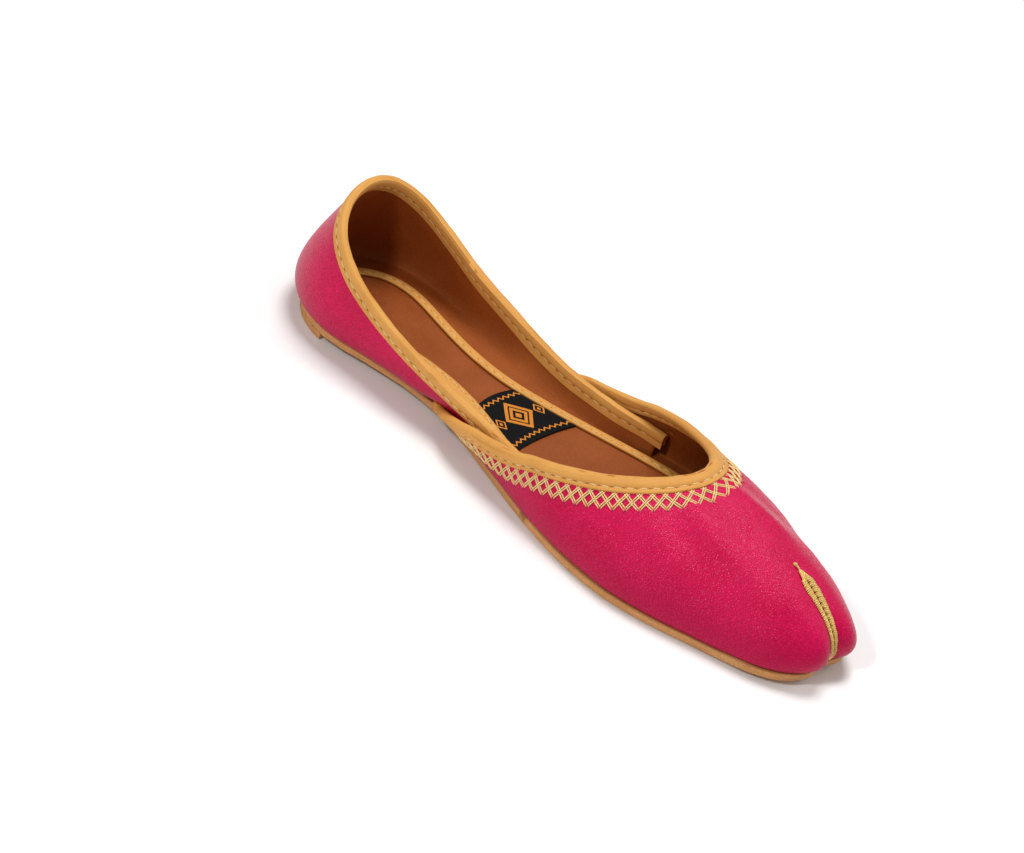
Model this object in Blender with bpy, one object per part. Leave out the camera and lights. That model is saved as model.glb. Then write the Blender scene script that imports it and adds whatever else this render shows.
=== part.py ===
"""A flat slip-on shoe of the jutti kind, built sub-part by sub-part.

A jutti is sewn on a straight last, so either shoe of a pair fits either foot.
The upper is one hollow leather wall: a quarter wraps the heel and both sides,
and a vamp covers the toes and laps outside the quarter with a wing on each
side.  The wall turns in under the foot and rests on a thin leather outsole.

Lengths are in millimetres inside this script and become metres in the meshes.
Along a half of the shoe, x runs from the back of the heel (0) to the toe (about 249),
y is the distance from the centre plane and z the height over the floor.
"""
import bmesh
import bpy
import numpy as np

MM = 0.001
LENGTH = 249.2

# ---- sole -----------------------------------------------------------------
SOLE_THICK = 3.0
HEEL_LIFT = 2.2
HEEL_LIFT_FRONT = 31.0
JOINT_GAP = 0.3
FACET_GAP = 0.55
TREAD_BACK = 140.0
SEAT_FRONT = 40.0
TREAD_FRONT = 208.0
TOE_SPRING = 3.0
EDGE_BEVEL = 0.7
NOTCH_DEPTH = 3.0
NOTCH_HALF = 5.0

# half outline of the sole seen from above, heel to toe
OUTLINE_COLUMNS = ("x", "y")
OUTLINE = (
    (4.5, 0.0),
    (9.5, 13.0),
    (20.0, 22.2),
    (34.0, 25.6),
    (50.0, 22.6),
    (68.0, 19.4),
    (86.0, 19.6),
    (104.0, 23.8),
    (122.0, 29.2),
    (142.0, 35.0),
    (160.0, 38.4),
    (178.0, 39.0),
    (196.0, 35.4),
    (212.0, 29.8),
    (224.0, 26.0),
    (234.0, 22.4),
    (240.8, 17.6),
    (245.2, 9.8),
    (246.4, 0.0),
)

# ---- upper ------------------------------------------------------------------
WALL = 1.8
SPINE_BACK = 28.0
SPINE_FRONT = 222.0
LAP_INSET = 3.7
LAP_RAISE = 0.6
LAP_BACK = 72.0
LAP_FULL = 88.0
QUARTER_END = 139.0

# quarter wall: one row for each place along the sole edge
QUARTER_COLUMNS = ("edge_x", "rim_x", "rim_y", "rim_z",
                   "low_out", "low_up", "high_out", "high_down")
QUARTER = (
    (4.5, 15.4, 0.0, 51.0, 10.5, 2.5, 12.0, 24.0),
    (9.5, 17.4, 12.5, 48.0, 9.5, 2.8, 9.0, 21.0),
    (20.0, 24.5, 21.6, 41.4, 8.0, 3.2, 5.5, 16.0),
    (34.0, 37.0, 25.8, 33.6, 6.5, 3.4, 3.0, 12.0),
    (50.0, 52.0, 26.6, 27.2, 7.5, 3.0, 1.5, 9.0),
    (68.0, 69.0, 27.0, 22.8, 8.0, 3.0, 0.6, 8.0),
    (86.0, 86.5, 26.4, 19.4, 6.6, 3.0, 0.2, 7.0),
    (104.0, 104.0, 26.2, 17.2, 4.5, 3.4, 0.0, 6.0),
    (122.0, 122.0, 27.8, 16.4, 1.8, 4.0, 0.2, 5.0),
    (139.0, 140.0, 29.0, 16.0, 1.4, 4.0, 1.0, 4.0),
)

# vamp wall: each row is a curve from the sole edge up to the centre line
VAMP_COLUMNS = ("edge_x", "edge_y", "crest_x", "crest_z",
                "low_out", "low_up", "high_out", "high_down", "seam")
VAMP = (
    (76.0, 19.1, 84.0, 52.0, 14.0, 5.0, 34.0, 20.0, 0.0),
    (104.0, 23.8, 108.0, 52.0, 13.6, 6.5, 37.0, 18.0, 0.0),
    (122.0, 29.2, 124.0, 50.5, 9.4, 8.5, 32.6, 11.0, 0.0),
    (142.0, 35.0, 142.5, 46.0, 6.2, 10.5, 26.8, 4.0, 0.0),
    (160.0, 38.4, 160.0, 41.0, 3.6, 11.5, 22.0, 1.0, 0.0),
    (178.0, 39.0, 177.0, 37.4, 2.8, 11.5, 23.0, 0.0, 0.0),
    (196.0, 35.4, 193.0, 35.8, 2.4, 11.0, 21.5, 0.0, 0.0),
    (212.0, 29.8, 207.0, 34.2, 2.2, 10.5, 18.5, 0.0, 0.1),
    (224.0, 26.0, 217.0, 32.2, 2.2, 10.0, 16.0, 0.0, 0.7),
    (234.0, 22.4, 227.5, 29.6, 2.2, 9.5, 12.8, 0.0, 1.8),
    (240.8, 17.6, 237.4, 26.0, 3.4, 7.5, 9.4, 0.0, 3.4),
    (245.2, 9.8, 246.6, 20.4, 7.6, 5.0, 6.6, 0.0, 5.2),
    (246.4, 0.0, 251.4, 12.5, 2.2, 1.5, 0.0, 1.5, 6.2),
)
SEAM_HALF = 4.4

# edge of the vamp along the throat, from the wing to the middle
THROAT_COLUMNS = ("x", "y", "z")
THROAT = (
    (84.0, 21.5, 8.0),
    (94.0, 28.8, 11.0),
    (106.0, 33.7, 15.4),
    (120.0, 34.8, 19.6),
    (134.0, 32.4, 23.4),
    (148.0, 28.2, 27.0),
    (160.0, 22.6, 30.6),
    (169.5, 15.6, 34.0),
    (175.5, 7.6, 36.4),
    (177.4, 0.0, 37.2),
)

# rows of the wall from the margin under the foot to the rim:
# how far in and how high the two skins lie at the fold, and the rounding
# that a free wall adds inside, then the share of the wall on each skin
MARGIN_COLUMNS = ("outer_in", "inner_in", "inner_up", "fillet_in", "fillet_up")
MARGIN = (
    (10.0, 10.0, 1.2, 0.0, 0.0),
    (5.0, 5.2, 1.2, 1.1, 0.1),
    (0.8, 2.3, 1.5, 3.0, 1.4),
)
WALL_COLUMNS = ("outer_share", "inner_share")
WALL_ROWS = (
    (0.04, 0.20),
    (0.10, 0.25),
    (0.17, 0.30),
    (0.26, 0.36),
    (0.37, 0.45),
    (0.50, 0.56),
    (0.64, 0.68),
    (0.79, 0.81),
    (0.91, 0.92),
    (1.00, 1.00),
)

# ---- bindings, insole and trims ---------------------------------------------
VAMP_BINDING = {"flank": 6.4, "inner_flank": 4.6, "thick": 0.9, "crown": 1.1}
QUARTER_BINDING = {"flank": 4.6, "inner_flank": 4.6, "thick": 0.8, "crown": 1.4}
# share of the flank that each strip shows outside, from the wing to the throat
FLANK_SHARE_COLUMNS = ("x", "share")
VAMP_FLANK_SHARE = ((94.0, 0.62), (130.0, 0.66), (150.0, 0.80), (165.0, 0.90), (178.0, 0.94))
QUARTER_FLANK_SHARE = ((0.0, 1.0), (150.0, 1.0))
STRIP_INSET = 7.0
INSOLE_UP = 2.2
INSOLE_THICK = 1.4
STRIP_WIDTH = 4.4
STRIP_THICK = 0.8
LABEL_BACK = 91.5
LABEL_FRONT = 116.0
LABEL_THICK = 0.5
LABEL_BOW = 1.2
BRAID_BACK = 220.5
BRAID_HALF = 2.7
BRAID_GAP = 0.8
BRAID_THICK = 0.9
BRAID_TIP = 8.0

COLOURS = {
    "upper": ((0.58, 0.008, 0.085), 0.45),
    "outsole": ((0.55, 0.32, 0.14), 0.7),
    "heel_lift": ((0.42, 0.22, 0.09), 0.75),
    "vamp_binding": ((0.75, 0.38, 0.10), 0.5),
    "quarter_binding": ((0.72, 0.36, 0.09), 0.5),
    "insole": ((0.22, 0.065, 0.02), 0.55),
    "insole_binding": ((0.72, 0.36, 0.09), 0.5),
    "label_patch": ((0.012, 0.012, 0.012), 0.85),
    "toe_braid": ((0.80, 0.60, 0.22), 0.35),
}


# ---- curves -------------------------------------------------------------------
def column(table, names, name):
    """One named column of a table."""
    return np.array([row[names.index(name)] for row in table])


def smooth_through(knots, values, at):
    """A smooth curve through values at knots, with a slope from each three."""
    knots = np.asarray(knots, float)
    values = np.asarray(values, float)
    at = np.clip(np.asarray(at, float), knots[0], knots[-1])
    step = np.diff(knots)
    rise = np.diff(values) / step
    slope = np.empty_like(values)
    slope[1:-1] = (rise[:-1] * step[1:] + rise[1:] * step[:-1]) / (step[:-1] + step[1:])
    slope[0] = 2.0 * rise[0] - slope[1] if len(values) > 2 else rise[0]
    slope[-1] = 2.0 * rise[-1] - slope[-2] if len(values) > 2 else rise[-1]
    cell = np.clip(np.searchsorted(knots, at) - 1, 0, len(step) - 1)
    width = step[cell]
    part = (at - knots[cell]) / width
    start, end = values[cell], values[cell + 1]
    return ((1 + 2 * part) * (1 - part) ** 2 * start + part * (1 - part) ** 2 * width * slope[cell]
            + part ** 2 * (3 - 2 * part) * end + part ** 2 * (part - 1) * width * slope[cell + 1])


def ease(part):
    """A soft step from 0 to 1."""
    part = np.clip(part, 0.0, 1.0)
    return part * part * (3.0 - 2.0 * part)


def trace_outline():
    """The half outline as dense points with the distance walked along it."""
    rows = np.array(OUTLINE)
    mirrored = rows * (1, -1)
    ring = np.vstack((mirrored[2:0:-1], rows, mirrored[-2:-4:-1]))
    chord = np.concatenate(((0.0,), np.cumsum(np.hypot(*np.diff(ring, axis=0).T))))
    first, last = chord[2], chord[-3]
    at = np.linspace(first, last, 1601)
    points = np.column_stack([smooth_through(chord, ring[:, axis], at) for axis in (0, 1)])
    points[0, 1] = 0.0
    points[-1, 1] = 0.0
    walked = np.concatenate(((0.0,), np.cumsum(np.hypot(*np.diff(points, axis=0).T))))
    return points, walked


EDGE_POINTS, EDGE_WALK = trace_outline()
EDGE_TOTAL = EDGE_WALK[-1]


def edge_point(walk):
    """Place on the sole edge, and its outward direction, at a walked distance."""
    walk = np.asarray(walk, float)
    spot = np.stack([np.interp(walk, EDGE_WALK, EDGE_POINTS[:, axis]) for axis in (0, 1)], -1)
    ahead = np.stack([np.interp(np.minimum(walk + 0.4, EDGE_TOTAL), EDGE_WALK, EDGE_POINTS[:, axis])
                      for axis in (0, 1)], -1)
    behind = np.stack([np.interp(np.maximum(walk - 0.4, 0.0), EDGE_WALK, EDGE_POINTS[:, axis])
                       for axis in (0, 1)], -1)
    along = ahead - behind
    along /= np.linalg.norm(along, axis=-1, keepdims=True)
    outward = np.stack((-along[..., 1], along[..., 0]), -1)
    centred = (walk <= 0.01) | (walk >= EDGE_TOTAL - 0.01)
    outward[..., 1] = np.where(centred, 0.0, outward[..., 1])
    outward[..., 0] = np.where(walk <= 0.01, -1.0, outward[..., 0])
    outward[..., 0] = np.where(walk >= EDGE_TOTAL - 0.01, 1.0, outward[..., 0])
    return spot, outward


def walk_at(x, y=None):
    """Walked distance of the edge point nearest to a place."""
    if y is None:
        side = EDGE_POINTS[:, 0] < 242.0
        return float(np.interp(x, EDGE_POINTS[side, 0], EDGE_WALK[side]))
    return float(EDGE_WALK[np.argmin(np.hypot(EDGE_POINTS[:, 0] - x, EDGE_POINTS[:, 1] - y))])


def sole_under(x):
    """Height of the outsole's underside."""
    seat = (HEEL_LIFT + JOINT_GAP) * ease((TREAD_BACK - x) / (TREAD_BACK - SEAT_FRONT))
    spring = TOE_SPRING * np.clip((x - TREAD_FRONT) / (LENGTH - TREAD_FRONT), 0.0, 1.0) ** 2
    return seat + spring


def margin_level(x):
    """Height of the underside of the upper's turned-in margin."""
    return sole_under(x) + SOLE_THICK + JOINT_GAP


def notch(x, y, depth):
    """How far the toe is set back at its middle."""
    return depth * np.exp(-(y / NOTCH_HALF) ** 2) * ease((x - 200.0) / 30.0)


# ---- wall surfaces --------------------------------------------------------------
def bend(foot, low, high, top, share):
    """A curve from foot to top, pulled by low and high."""
    share = share[..., None]
    back = 1.0 - share
    return (back ** 3 * foot + 3 * back ** 2 * share * low
            + 3 * back * share ** 2 * high + share ** 3 * top)


QUARTER_WALK = np.array([walk_at(row[0]) if row[0] > 5.0 else 0.0 for row in QUARTER])
VAMP_WALK = np.array([walk_at(row[0], row[1]) for row in VAMP])
VAMP_WALK[-1] = EDGE_TOTAL


def quarter_point(walk, share):
    """Outer skin of the quarter."""
    walk, share = np.broadcast_arrays(np.asarray(walk, float), np.asarray(share, float))
    value = {name: smooth_through(QUARTER_WALK, column(QUARTER, QUARTER_COLUMNS, name), walk)
             for name in QUARTER_COLUMNS}
    spot, outward = edge_point(walk)
    lap = ease((spot[..., 0] - LAP_BACK) / (LAP_FULL - LAP_BACK))
    level = margin_level(spot[..., 0]) + LAP_RAISE * lap
    foot = np.stack((spot[..., 0] - outward[..., 0] * LAP_INSET * lap,
                     spot[..., 1] - outward[..., 1] * LAP_INSET * lap, level), -1)
    side = np.stack((outward[..., 0], outward[..., 1], np.zeros_like(walk)), -1)
    up = np.array((0.0, 0.0, 1.0))
    top = np.stack((value["rim_x"], value["rim_y"], value["rim_z"]), -1)
    low = foot + side * value["low_out"][..., None] + up * value["low_up"][..., None]
    high = top + side * value["high_out"][..., None] - up * value["high_down"][..., None]
    return bend(foot, low, high, top, share)


def vamp_point(walk, share):
    """Outer skin of the vamp, with the soft cleft along the toe seam."""
    walk, share = np.broadcast_arrays(np.asarray(walk, float), np.asarray(share, float))
    value = {name: smooth_through(VAMP_WALK, column(VAMP, VAMP_COLUMNS, name), walk)
             for name in VAMP_COLUMNS}
    spot, outward = edge_point(walk)
    zero = np.zeros_like(walk)
    set_back = notch(spot[..., 0], spot[..., 1], NOTCH_DEPTH)
    foot = np.stack((spot[..., 0], spot[..., 1], margin_level(spot[..., 0] - set_back)), -1)
    side = np.stack((outward[..., 0], outward[..., 1], zero), -1)
    up = np.array((0.0, 0.0, 1.0))
    top = np.stack((value["crest_x"], zero, value["crest_z"]), -1)
    low = foot + side * value["low_out"][..., None] + up * value["low_up"][..., None]
    high = top + np.stack((zero, value["high_out"], -value["high_down"]), -1)
    point = bend(foot, low, high, top, share)
    crest_step = [smooth_through(VAMP_WALK, column(VAMP, VAMP_COLUMNS, name), walk + 0.5)
                  - smooth_through(VAMP_WALK, column(VAMP, VAMP_COLUMNS, name), walk - 0.5)
                  for name in ("crest_x", "crest_z")]
    size = np.hypot(*crest_step) + 1e-9
    inward = np.stack((crest_step[1] / size, zero, -crest_step[0] / size), -1)
    inward[..., 2] *= ease(share * 2.0)
    fold = value["seam"] * np.exp(-(point[..., 1] / SEAM_HALF) ** 2) * ease(share * 4.0)
    point = point + inward * fold[..., None]
    point[..., 0] -= notch(point[..., 0], point[..., 1], NOTCH_DEPTH) * (1.0 - ease(share * 4.0))
    return point


def skin_normal(surface, walk, share):
    """Outward direction of a wall surface, kept in the centre plane at the middle."""
    walk, share = np.broadcast_arrays(np.asarray(walk, float), np.asarray(share, float))
    reach, lift = 0.6, 0.01
    limit = EDGE_TOTAL if surface is vamp_point else QUARTER_WALK[-1]
    along = surface(np.minimum(walk + reach, limit), share) - surface(np.maximum(walk - reach, 0.0), share)
    rising = surface(walk, np.minimum(share + lift, 1.0)) - surface(walk, np.maximum(share - lift, 0.0))
    across = np.cross(rising, along)
    spot = surface(walk, share)
    run = np.where(np.hypot(along[..., 0], along[..., 2])[..., None]
                   > 2.0 * np.hypot(rising[..., 0], rising[..., 2])[..., None], along, rising)
    middle = np.stack((-run[..., 2], np.zeros_like(walk), run[..., 0]), -1)
    core = np.stack((np.clip(spot[..., 0], SPINE_BACK, SPINE_FRONT - 12.0),
                     np.zeros_like(walk), np.full_like(walk, 12.0)), -1)
    middle *= np.sign(np.sum(middle * (spot - core), -1))[..., None]
    across = np.where((spot[..., 1] < 0.01)[..., None], middle, across)
    return across / np.linalg.norm(across, axis=-1, keepdims=True)


# ---- columns of a wall ------------------------------------------------------------
def locate(surface, target, walk, share, limit):
    """Nearest places on a wall surface to some points, from first guesses."""
    for _ in range(12):
        here = surface(walk, share)
        by_walk = (surface(np.minimum(walk + 0.2, limit), share) - surface(walk - 0.2, share)) / 0.4
        by_share = (surface(walk, share + 0.002) - surface(walk, share - 0.002)) / 0.004
        miss = target - here
        aa = np.sum(by_walk * by_walk, -1) + 1e-6
        bb = np.sum(by_share * by_share, -1) + 1e-6
        ab = np.sum(by_walk * by_share, -1)
        am = np.sum(by_walk * miss, -1)
        bm = np.sum(by_share * miss, -1)
        det = aa * bb - ab * ab + 1e-6
        walk = np.clip(walk + np.clip((am * bb - bm * ab) / det, -4.0, 4.0), 0.5, limit)
        share = np.clip(share + np.clip((bm * aa - am * ab) / det, -0.1, 0.1), 0.0, 1.0)
    return walk, share


def first_guess(surface, target, walks):
    """Coarse search for the nearest place on a wall surface."""
    grid_walk, grid_share = np.meshgrid(walks, np.linspace(0.02, 1.0, 50), indexing="ij")
    cloud = surface(grid_walk, grid_share)
    best = [np.argmin(np.sum((cloud - point) ** 2, -1)) for point in target]
    return grid_walk.ravel()[best], grid_share.ravel()[best]


def throat_places(count):
    """Places on the vamp surface along the throat edge, wing to middle."""
    target = np.array(THROAT)
    walks = np.linspace(VAMP_WALK[0] + 1.0, walk_at(200.0), 70)
    walk, share = first_guess(vamp_point, target, walks)
    walk, share = locate(vamp_point, target, walk, share, EDGE_TOTAL)
    share[-1] = 1.0
    run = np.concatenate(((0.0,), np.cumsum(np.linalg.norm(np.diff(target, axis=0), axis=1))))
    at = np.linspace(0.0, run[-1], count)
    return smooth_through(run, walk, at), smooth_through(run, share, at), at / run[-1]


RIM_COLUMNS = 23
CREST_COLUMNS = 15
QUARTER_COLUMN_COUNT = 25
WING_FOOT_X = 83.0
CORNER_FOOT_X = 187.0


def vamp_columns():
    """Foot walk, top walk and top share of each vamp column, wing to nose."""
    top_walk, top_share, part = throat_places(RIM_COLUMNS)
    wing, corner = walk_at(WING_FOOT_X), walk_at(CORNER_FOOT_X)
    foot = wing + (corner - wing) * part
    rest = np.linspace(0.0, 1.0, CREST_COLUMNS + 1)[1:]
    rest = 1.0 - (1.0 - rest) ** 1.25
    foot = np.concatenate((foot, corner + (EDGE_TOTAL - corner) * rest))
    crest = top_walk[-1] + (EDGE_TOTAL - top_walk[-1]) * rest
    return foot, np.concatenate((top_walk, crest)), np.concatenate((top_share, np.ones_like(rest)))


def quarter_columns():
    """The same for the quarter, heel to front end."""
    end = walk_at(QUARTER_END)
    walk = end * np.linspace(0.0, 1.0, QUARTER_COLUMN_COUNT) ** 1.12
    return walk, walk, np.ones_like(walk)


def inward_of(spot):
    """Direction from an edge point to the spine of the foot bed."""
    spine_x = np.clip(spot[..., 0], SPINE_BACK, SPINE_FRONT)
    way = np.stack((spine_x - spot[..., 0], -spot[..., 1], np.zeros_like(spine_x)), -1)
    return way / np.linalg.norm(way, axis=-1, keepdims=True)


def wall_skins(surface, columns):
    """Outer and inner skins of a wall as grids: column by row, margin to rim."""
    foot_walk, top_walk, top_share = columns
    foot = surface(foot_walk, np.zeros_like(foot_walk))
    top = surface(top_walk, top_share)
    height = top[:, 2] - foot[:, 2]
    free = np.clip(height / 13.0, 0.0, 1.0)
    if surface is quarter_point:
        free = free * (1.0 - ease((foot[:, 0] - LAP_BACK + 8.0) / (LAP_FULL - LAP_BACK - 4.0)))
    inward = inward_of(foot)
    outer, inner = [], []
    raised = foot[:, 2] - margin_level(foot[:, 0])
    for outer_in, inner_in, inner_up, fillet_in, fillet_up in MARGIN:
        reach = inner_in + fillet_in * free
        lift = inner_up + fillet_up * free
        outer_row = foot + inward * outer_in
        outer_row[:, 2] = margin_level(outer_row[:, 0]) + raised
        inner_row = foot + inward * reach[:, None]
        inner_row[:, 2] = margin_level(inner_row[:, 0]) + raised + lift
        outer.append(outer_row)
        inner.append(inner_row)
    start = np.clip((2.0 + 1.6 * free) / height, 0.16, 0.7)
    for outer_share, inner_share in WALL_ROWS:
        walk = foot_walk + (top_walk - foot_walk) * outer_share
        outer.append(surface(walk, top_share * outer_share))
        low = WALL_ROWS[0][1]
        share = start + (1.0 - start) * (inner_share - low) / (1.0 - low)
        walk = foot_walk + (top_walk - foot_walk) * share
        normal = skin_normal(surface, walk, top_share * share)
        inner.append(surface(walk, top_share * share) - normal * WALL)
    return np.stack(outer, 1), np.stack(inner, 1)


# ---- meshes -----------------------------------------------------------------------
def new_object(name, mesh_builder):
    """Link one sub-part with its own material."""
    mesh = bpy.data.meshes.new(name)
    bmesh.ops.recalc_face_normals(mesh_builder, faces=mesh_builder.faces)
    mesh_builder.to_mesh(mesh)
    mesh_builder.free()
    mesh.shade_smooth()
    mesh.set_sharp_from_angle(angle=0.7)
    thing = bpy.data.objects.new(name, mesh)
    bpy.context.collection.objects.link(thing)
    paint(thing)
    return thing


def paint(thing):
    """Give a sub-part its own plain material."""
    colour, rough = COLOURS[thing.name]
    material = bpy.data.materials.new(thing.name + "_material")
    material.use_nodes = True
    shader = material.node_tree.nodes["Principled BSDF"]
    shader.inputs["Base Color"].default_value = (*colour, 1.0)
    shader.inputs["Roughness"].default_value = rough
    shader.inputs["Metallic"].default_value = 0.0
    thing.data.materials.clear()
    thing.data.materials.append(material)


def place(builder, point):
    """A vertex from millimetres on the shoe to metres on the floor."""
    x, y, z = point
    return builder.verts.new(((x - LENGTH / 2.0) * MM, y * MM, z * MM))


def grid_faces(builder, grid, flip=False):
    """Quads over a grid of vertices."""
    for first, second in zip(grid[:-1], grid[1:]):
        for row in range(len(first) - 1):
            corners = [first[row], second[row], second[row + 1], first[row + 1]]
            builder.faces.new(corners[::-1] if flip else corners)


def mirrored_copy(builder):
    """Mirror the half across the centre plane and sew the two together."""
    copy = bmesh.ops.duplicate(builder, geom=builder.verts[:] + builder.edges[:] + builder.faces[:])
    faces = [item for item in copy["geom"] if isinstance(item, bmesh.types.BMFace)]
    for item in copy["geom"]:
        if isinstance(item, bmesh.types.BMVert):
            item.co.y = -item.co.y
    bmesh.ops.reverse_faces(builder, faces=faces)
    bmesh.ops.remove_doubles(builder, verts=builder.verts, dist=2e-6)


def wall_solid(name, surface, columns, free_ends, rim_count):
    """A closed wall: two skins joined at the margin, the rim and the free ends."""
    outer, inner = wall_skins(surface, columns)
    builder = bmesh.new()
    outer_verts = [[place(builder, point) for point in line] for line in outer]
    inner_verts = [[place(builder, point) for point in line] for line in inner]
    grid_faces(builder, outer_verts)
    grid_faces(builder, inner_verts, flip=True)
    for k in range(len(outer_verts) - 1):
        builder.faces.new((outer_verts[k][0], inner_verts[k][0],
                           inner_verts[k + 1][0], outer_verts[k + 1][0]))
        if k < rim_count - 1:
            builder.faces.new((outer_verts[k][-1], outer_verts[k + 1][-1],
                               inner_verts[k + 1][-1], inner_verts[k][-1]))
    for end in free_ends:
        grid_faces(builder, [outer_verts[end], inner_verts[end]], flip=end == 0)
    mirrored_copy(builder)
    return new_object(name, builder)


def apply_modifiers(thing):
    """Turn a sub-part's modifiers into plain mesh."""
    graph = bpy.context.evaluated_depsgraph_get()
    solid = bpy.data.meshes.new_from_object(thing.evaluated_get(graph))
    thing.modifiers.clear()
    thing.data = solid


# ---- sub-parts ----------------------------------------------------------------------
def make_upper():
    """Vamp and quarter walls, sewn into one hollow solid at the margin."""
    vamp = wall_solid("upper", vamp_point, vamp_columns(), (0,), RIM_COLUMNS)
    quarter_set = quarter_columns()
    COLOURS["quarter"] = COLOURS["upper"]
    quarter = wall_solid("quarter", quarter_point, quarter_set, (-1,), QUARTER_COLUMN_COUNT)
    join = vamp.modifiers.new("sewn", "BOOLEAN")
    join.operation = "UNION"
    join.object = quarter
    apply_modifiers(vamp)
    bpy.data.objects.remove(quarter)


def ladder_faces(builder, left, right, flip=False):
    """Fill between two sides of an outline that share their first vertex."""
    for k in range(len(left) - 1):
        corners = [left[k], left[k + 1], right[k + 1], right[k]]
        corners = list(dict.fromkeys(corners))
        builder.faces.new(corners[::-1] if flip else corners)


def plate_rings(builder, rings):
    """Vertices of each ring: a half from heel to toe, and its mirror image."""
    made = []
    for ring in rings:
        left = [place(builder, point) for point in ring]
        right = []
        for vertex, (x, y, z) in zip(left, ring):
            right.append(vertex if abs(y) < 1e-6 else place(builder, (x, -y, z)))
        made.append((left, right))
    return made


def side_faces(builder, made):
    """Walls between neighbouring rings."""
    for (left, right), (left_up, right_up) in zip(made[:-1], made[1:]):
        for k in range(len(left) - 1):
            builder.faces.new((left[k], left_up[k], left_up[k + 1], left[k + 1]))
            builder.faces.new((right[k], right[k + 1], right_up[k + 1], right_up[k]))


def outsole_walks():
    """Places round the sole edge, closer together at the toe."""
    rear = np.linspace(0.0, walk_at(228.0), 30)
    front = np.linspace(walk_at(228.0), EDGE_TOTAL, 12)
    return np.concatenate((rear, front[1:]))


def make_outsole():
    """A thin sole with a rounded edge and a heart-shaped toe."""
    walk = outsole_walks()
    spot, outward = edge_point(walk)
    rings = []
    for up, inset in ((0.0, EDGE_BEVEL), (EDGE_BEVEL, 0.0),
                      (SOLE_THICK - 0.5 * EDGE_BEVEL, 0.0), (SOLE_THICK, 0.5 * EDGE_BEVEL)):
        flat = spot - outward * inset
        flat[:, 0] -= notch(flat[:, 0], flat[:, 1], NOTCH_DEPTH)
        rings.append(np.column_stack((flat, sole_under(flat[:, 0]) + up)))
    builder = bmesh.new()
    made = plate_rings(builder, rings)
    side_faces(builder, made)
    lobe = int(np.argmax(spot[:, 0] > rings[0][-1][0] - 1.2))
    for level, flip in ((0, False), (-1, True)):
        left, right = made[level]
        ladder_faces(builder, left[:lobe + 1], right[:lobe + 1], flip)
        tip = left[lobe:] + right[lobe:-1][::-1]
        builder.faces.new(tip[::-1] if flip else tip)
    bmesh.ops.triangulate(builder, faces=[face for face in builder.faces if len(face.verts) > 4])
    new_object("outsole", builder)


def make_heel_lift():
    """The short lift under the back of the sole."""
    walk = np.linspace(0.0, walk_at(HEEL_LIFT_FRONT), 12)
    spot, outward = edge_point(walk)
    rings = []
    for up, inset in ((0.0, 0.9), (0.4, 0.4), (HEEL_LIFT, 0.4)):
        flat = spot - outward * inset
        flat[-1] = (HEEL_LIFT_FRONT - 0.5 * (inset - 0.4), flat[-1, 1])
        rings.append(np.column_stack((flat, np.full(len(walk), up))))
    builder = bmesh.new()
    made = plate_rings(builder, rings)
    side_faces(builder, made)
    for (left, right), (left_up, right_up) in zip(made[:-1], made[1:]):
        builder.faces.new((left[-1], left_up[-1], right_up[-1], right[-1]))
    ladder_faces(builder, *made[0])
    ladder_faces(builder, *made[-1], True)
    new_object("heel_lift", builder)


def bed_ring(walk, inset, lift):
    """A ring parallel to the sole edge, above the margin."""
    spot, _ = edge_point(walk)
    inner = spot + inward_of(spot)[:, :2] * inset
    inner[:, 0] -= (NOTCH_DEPTH + 1.0) * ease((spot[:, 0] - 200.0) / 35.0)
    inner[0, 1] = 0.0
    inner[-1, 1] = 0.0
    return np.column_stack((inner, margin_level(inner[:, 0]) + INSOLE_UP + lift))


def make_insole():
    """The insole board with its leather sock."""
    walk = np.linspace(0.0, EDGE_TOTAL, 36)
    inset = STRIP_INSET + STRIP_THICK + JOINT_GAP
    builder = bmesh.new()
    made = plate_rings(builder, [bed_ring(walk, inset, 0.0), bed_ring(walk, inset, INSOLE_THICK)])
    side_faces(builder, made)
    ladder_faces(builder, *made[0])
    ladder_faces(builder, *made[1], True)
    new_object("insole", builder)


def make_insole_binding():
    """The stitched strip folded over the insole's edge."""
    walk = np.linspace(0.0, EDGE_TOTAL, 36)
    under = INSOLE_THICK + JOINT_GAP
    side = STRIP_INSET + STRIP_THICK
    profile = ((STRIP_INSET, 0.0), (STRIP_INSET, under + 0.5 * STRIP_THICK),
               (STRIP_INSET + 0.5, under + STRIP_THICK), (STRIP_INSET + STRIP_WIDTH, under + STRIP_THICK),
               (STRIP_INSET + STRIP_WIDTH, under), (side, under), (side, 0.0))
    builder = bmesh.new()
    made = plate_rings(builder, [bed_ring(walk, inset, lift) for inset, lift in profile])
    side_faces(builder, made + made[:1])
    new_object("insole_binding", builder)


def make_label():
    """The woven patch sewn across the waist of the insole."""
    across = np.linspace(-1.0, 1.0, 9)
    base = INSOLE_UP + INSOLE_THICK + JOINT_GAP
    builder = bmesh.new()
    lines = []
    for part in np.linspace(0.0, 1.0, 5):
        corner = LABEL_BACK + (LABEL_FRONT - LABEL_BACK) * part
        half = edge_point(walk_at(corner))[0][1] - STRIP_INSET - STRIP_WIDTH - JOINT_GAP
        x = corner - LABEL_BOW * (1.0 - across ** 2)
        lines.append(np.column_stack((x, half * across, margin_level(x) + base)))
    low = [[place(builder, point) for point in line] for line in lines]
    high = [[place(builder, point + (0.0, 0.0, LABEL_THICK)) for point in line] for line in lines]
    grid_faces(builder, low)
    grid_faces(builder, high, flip=True)
    for side in (0, -1):
        grid_faces(builder, [[line[side] for line in low], [line[side] for line in high]])
        grid_faces(builder, [low[side], high[side]])
    new_object("label_patch", builder)


# faces that close the end of a folded strip, by place in its profile
BINDING_CAP = ((0, 1, 13, 14), (1, 2, 12, 13), (2, 3, 12), (3, 4, 12), (4, 11, 12),
               (4, 5, 11), (5, 6, 11), (6, 7, 10, 11), (7, 8, 9, 10))


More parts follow.
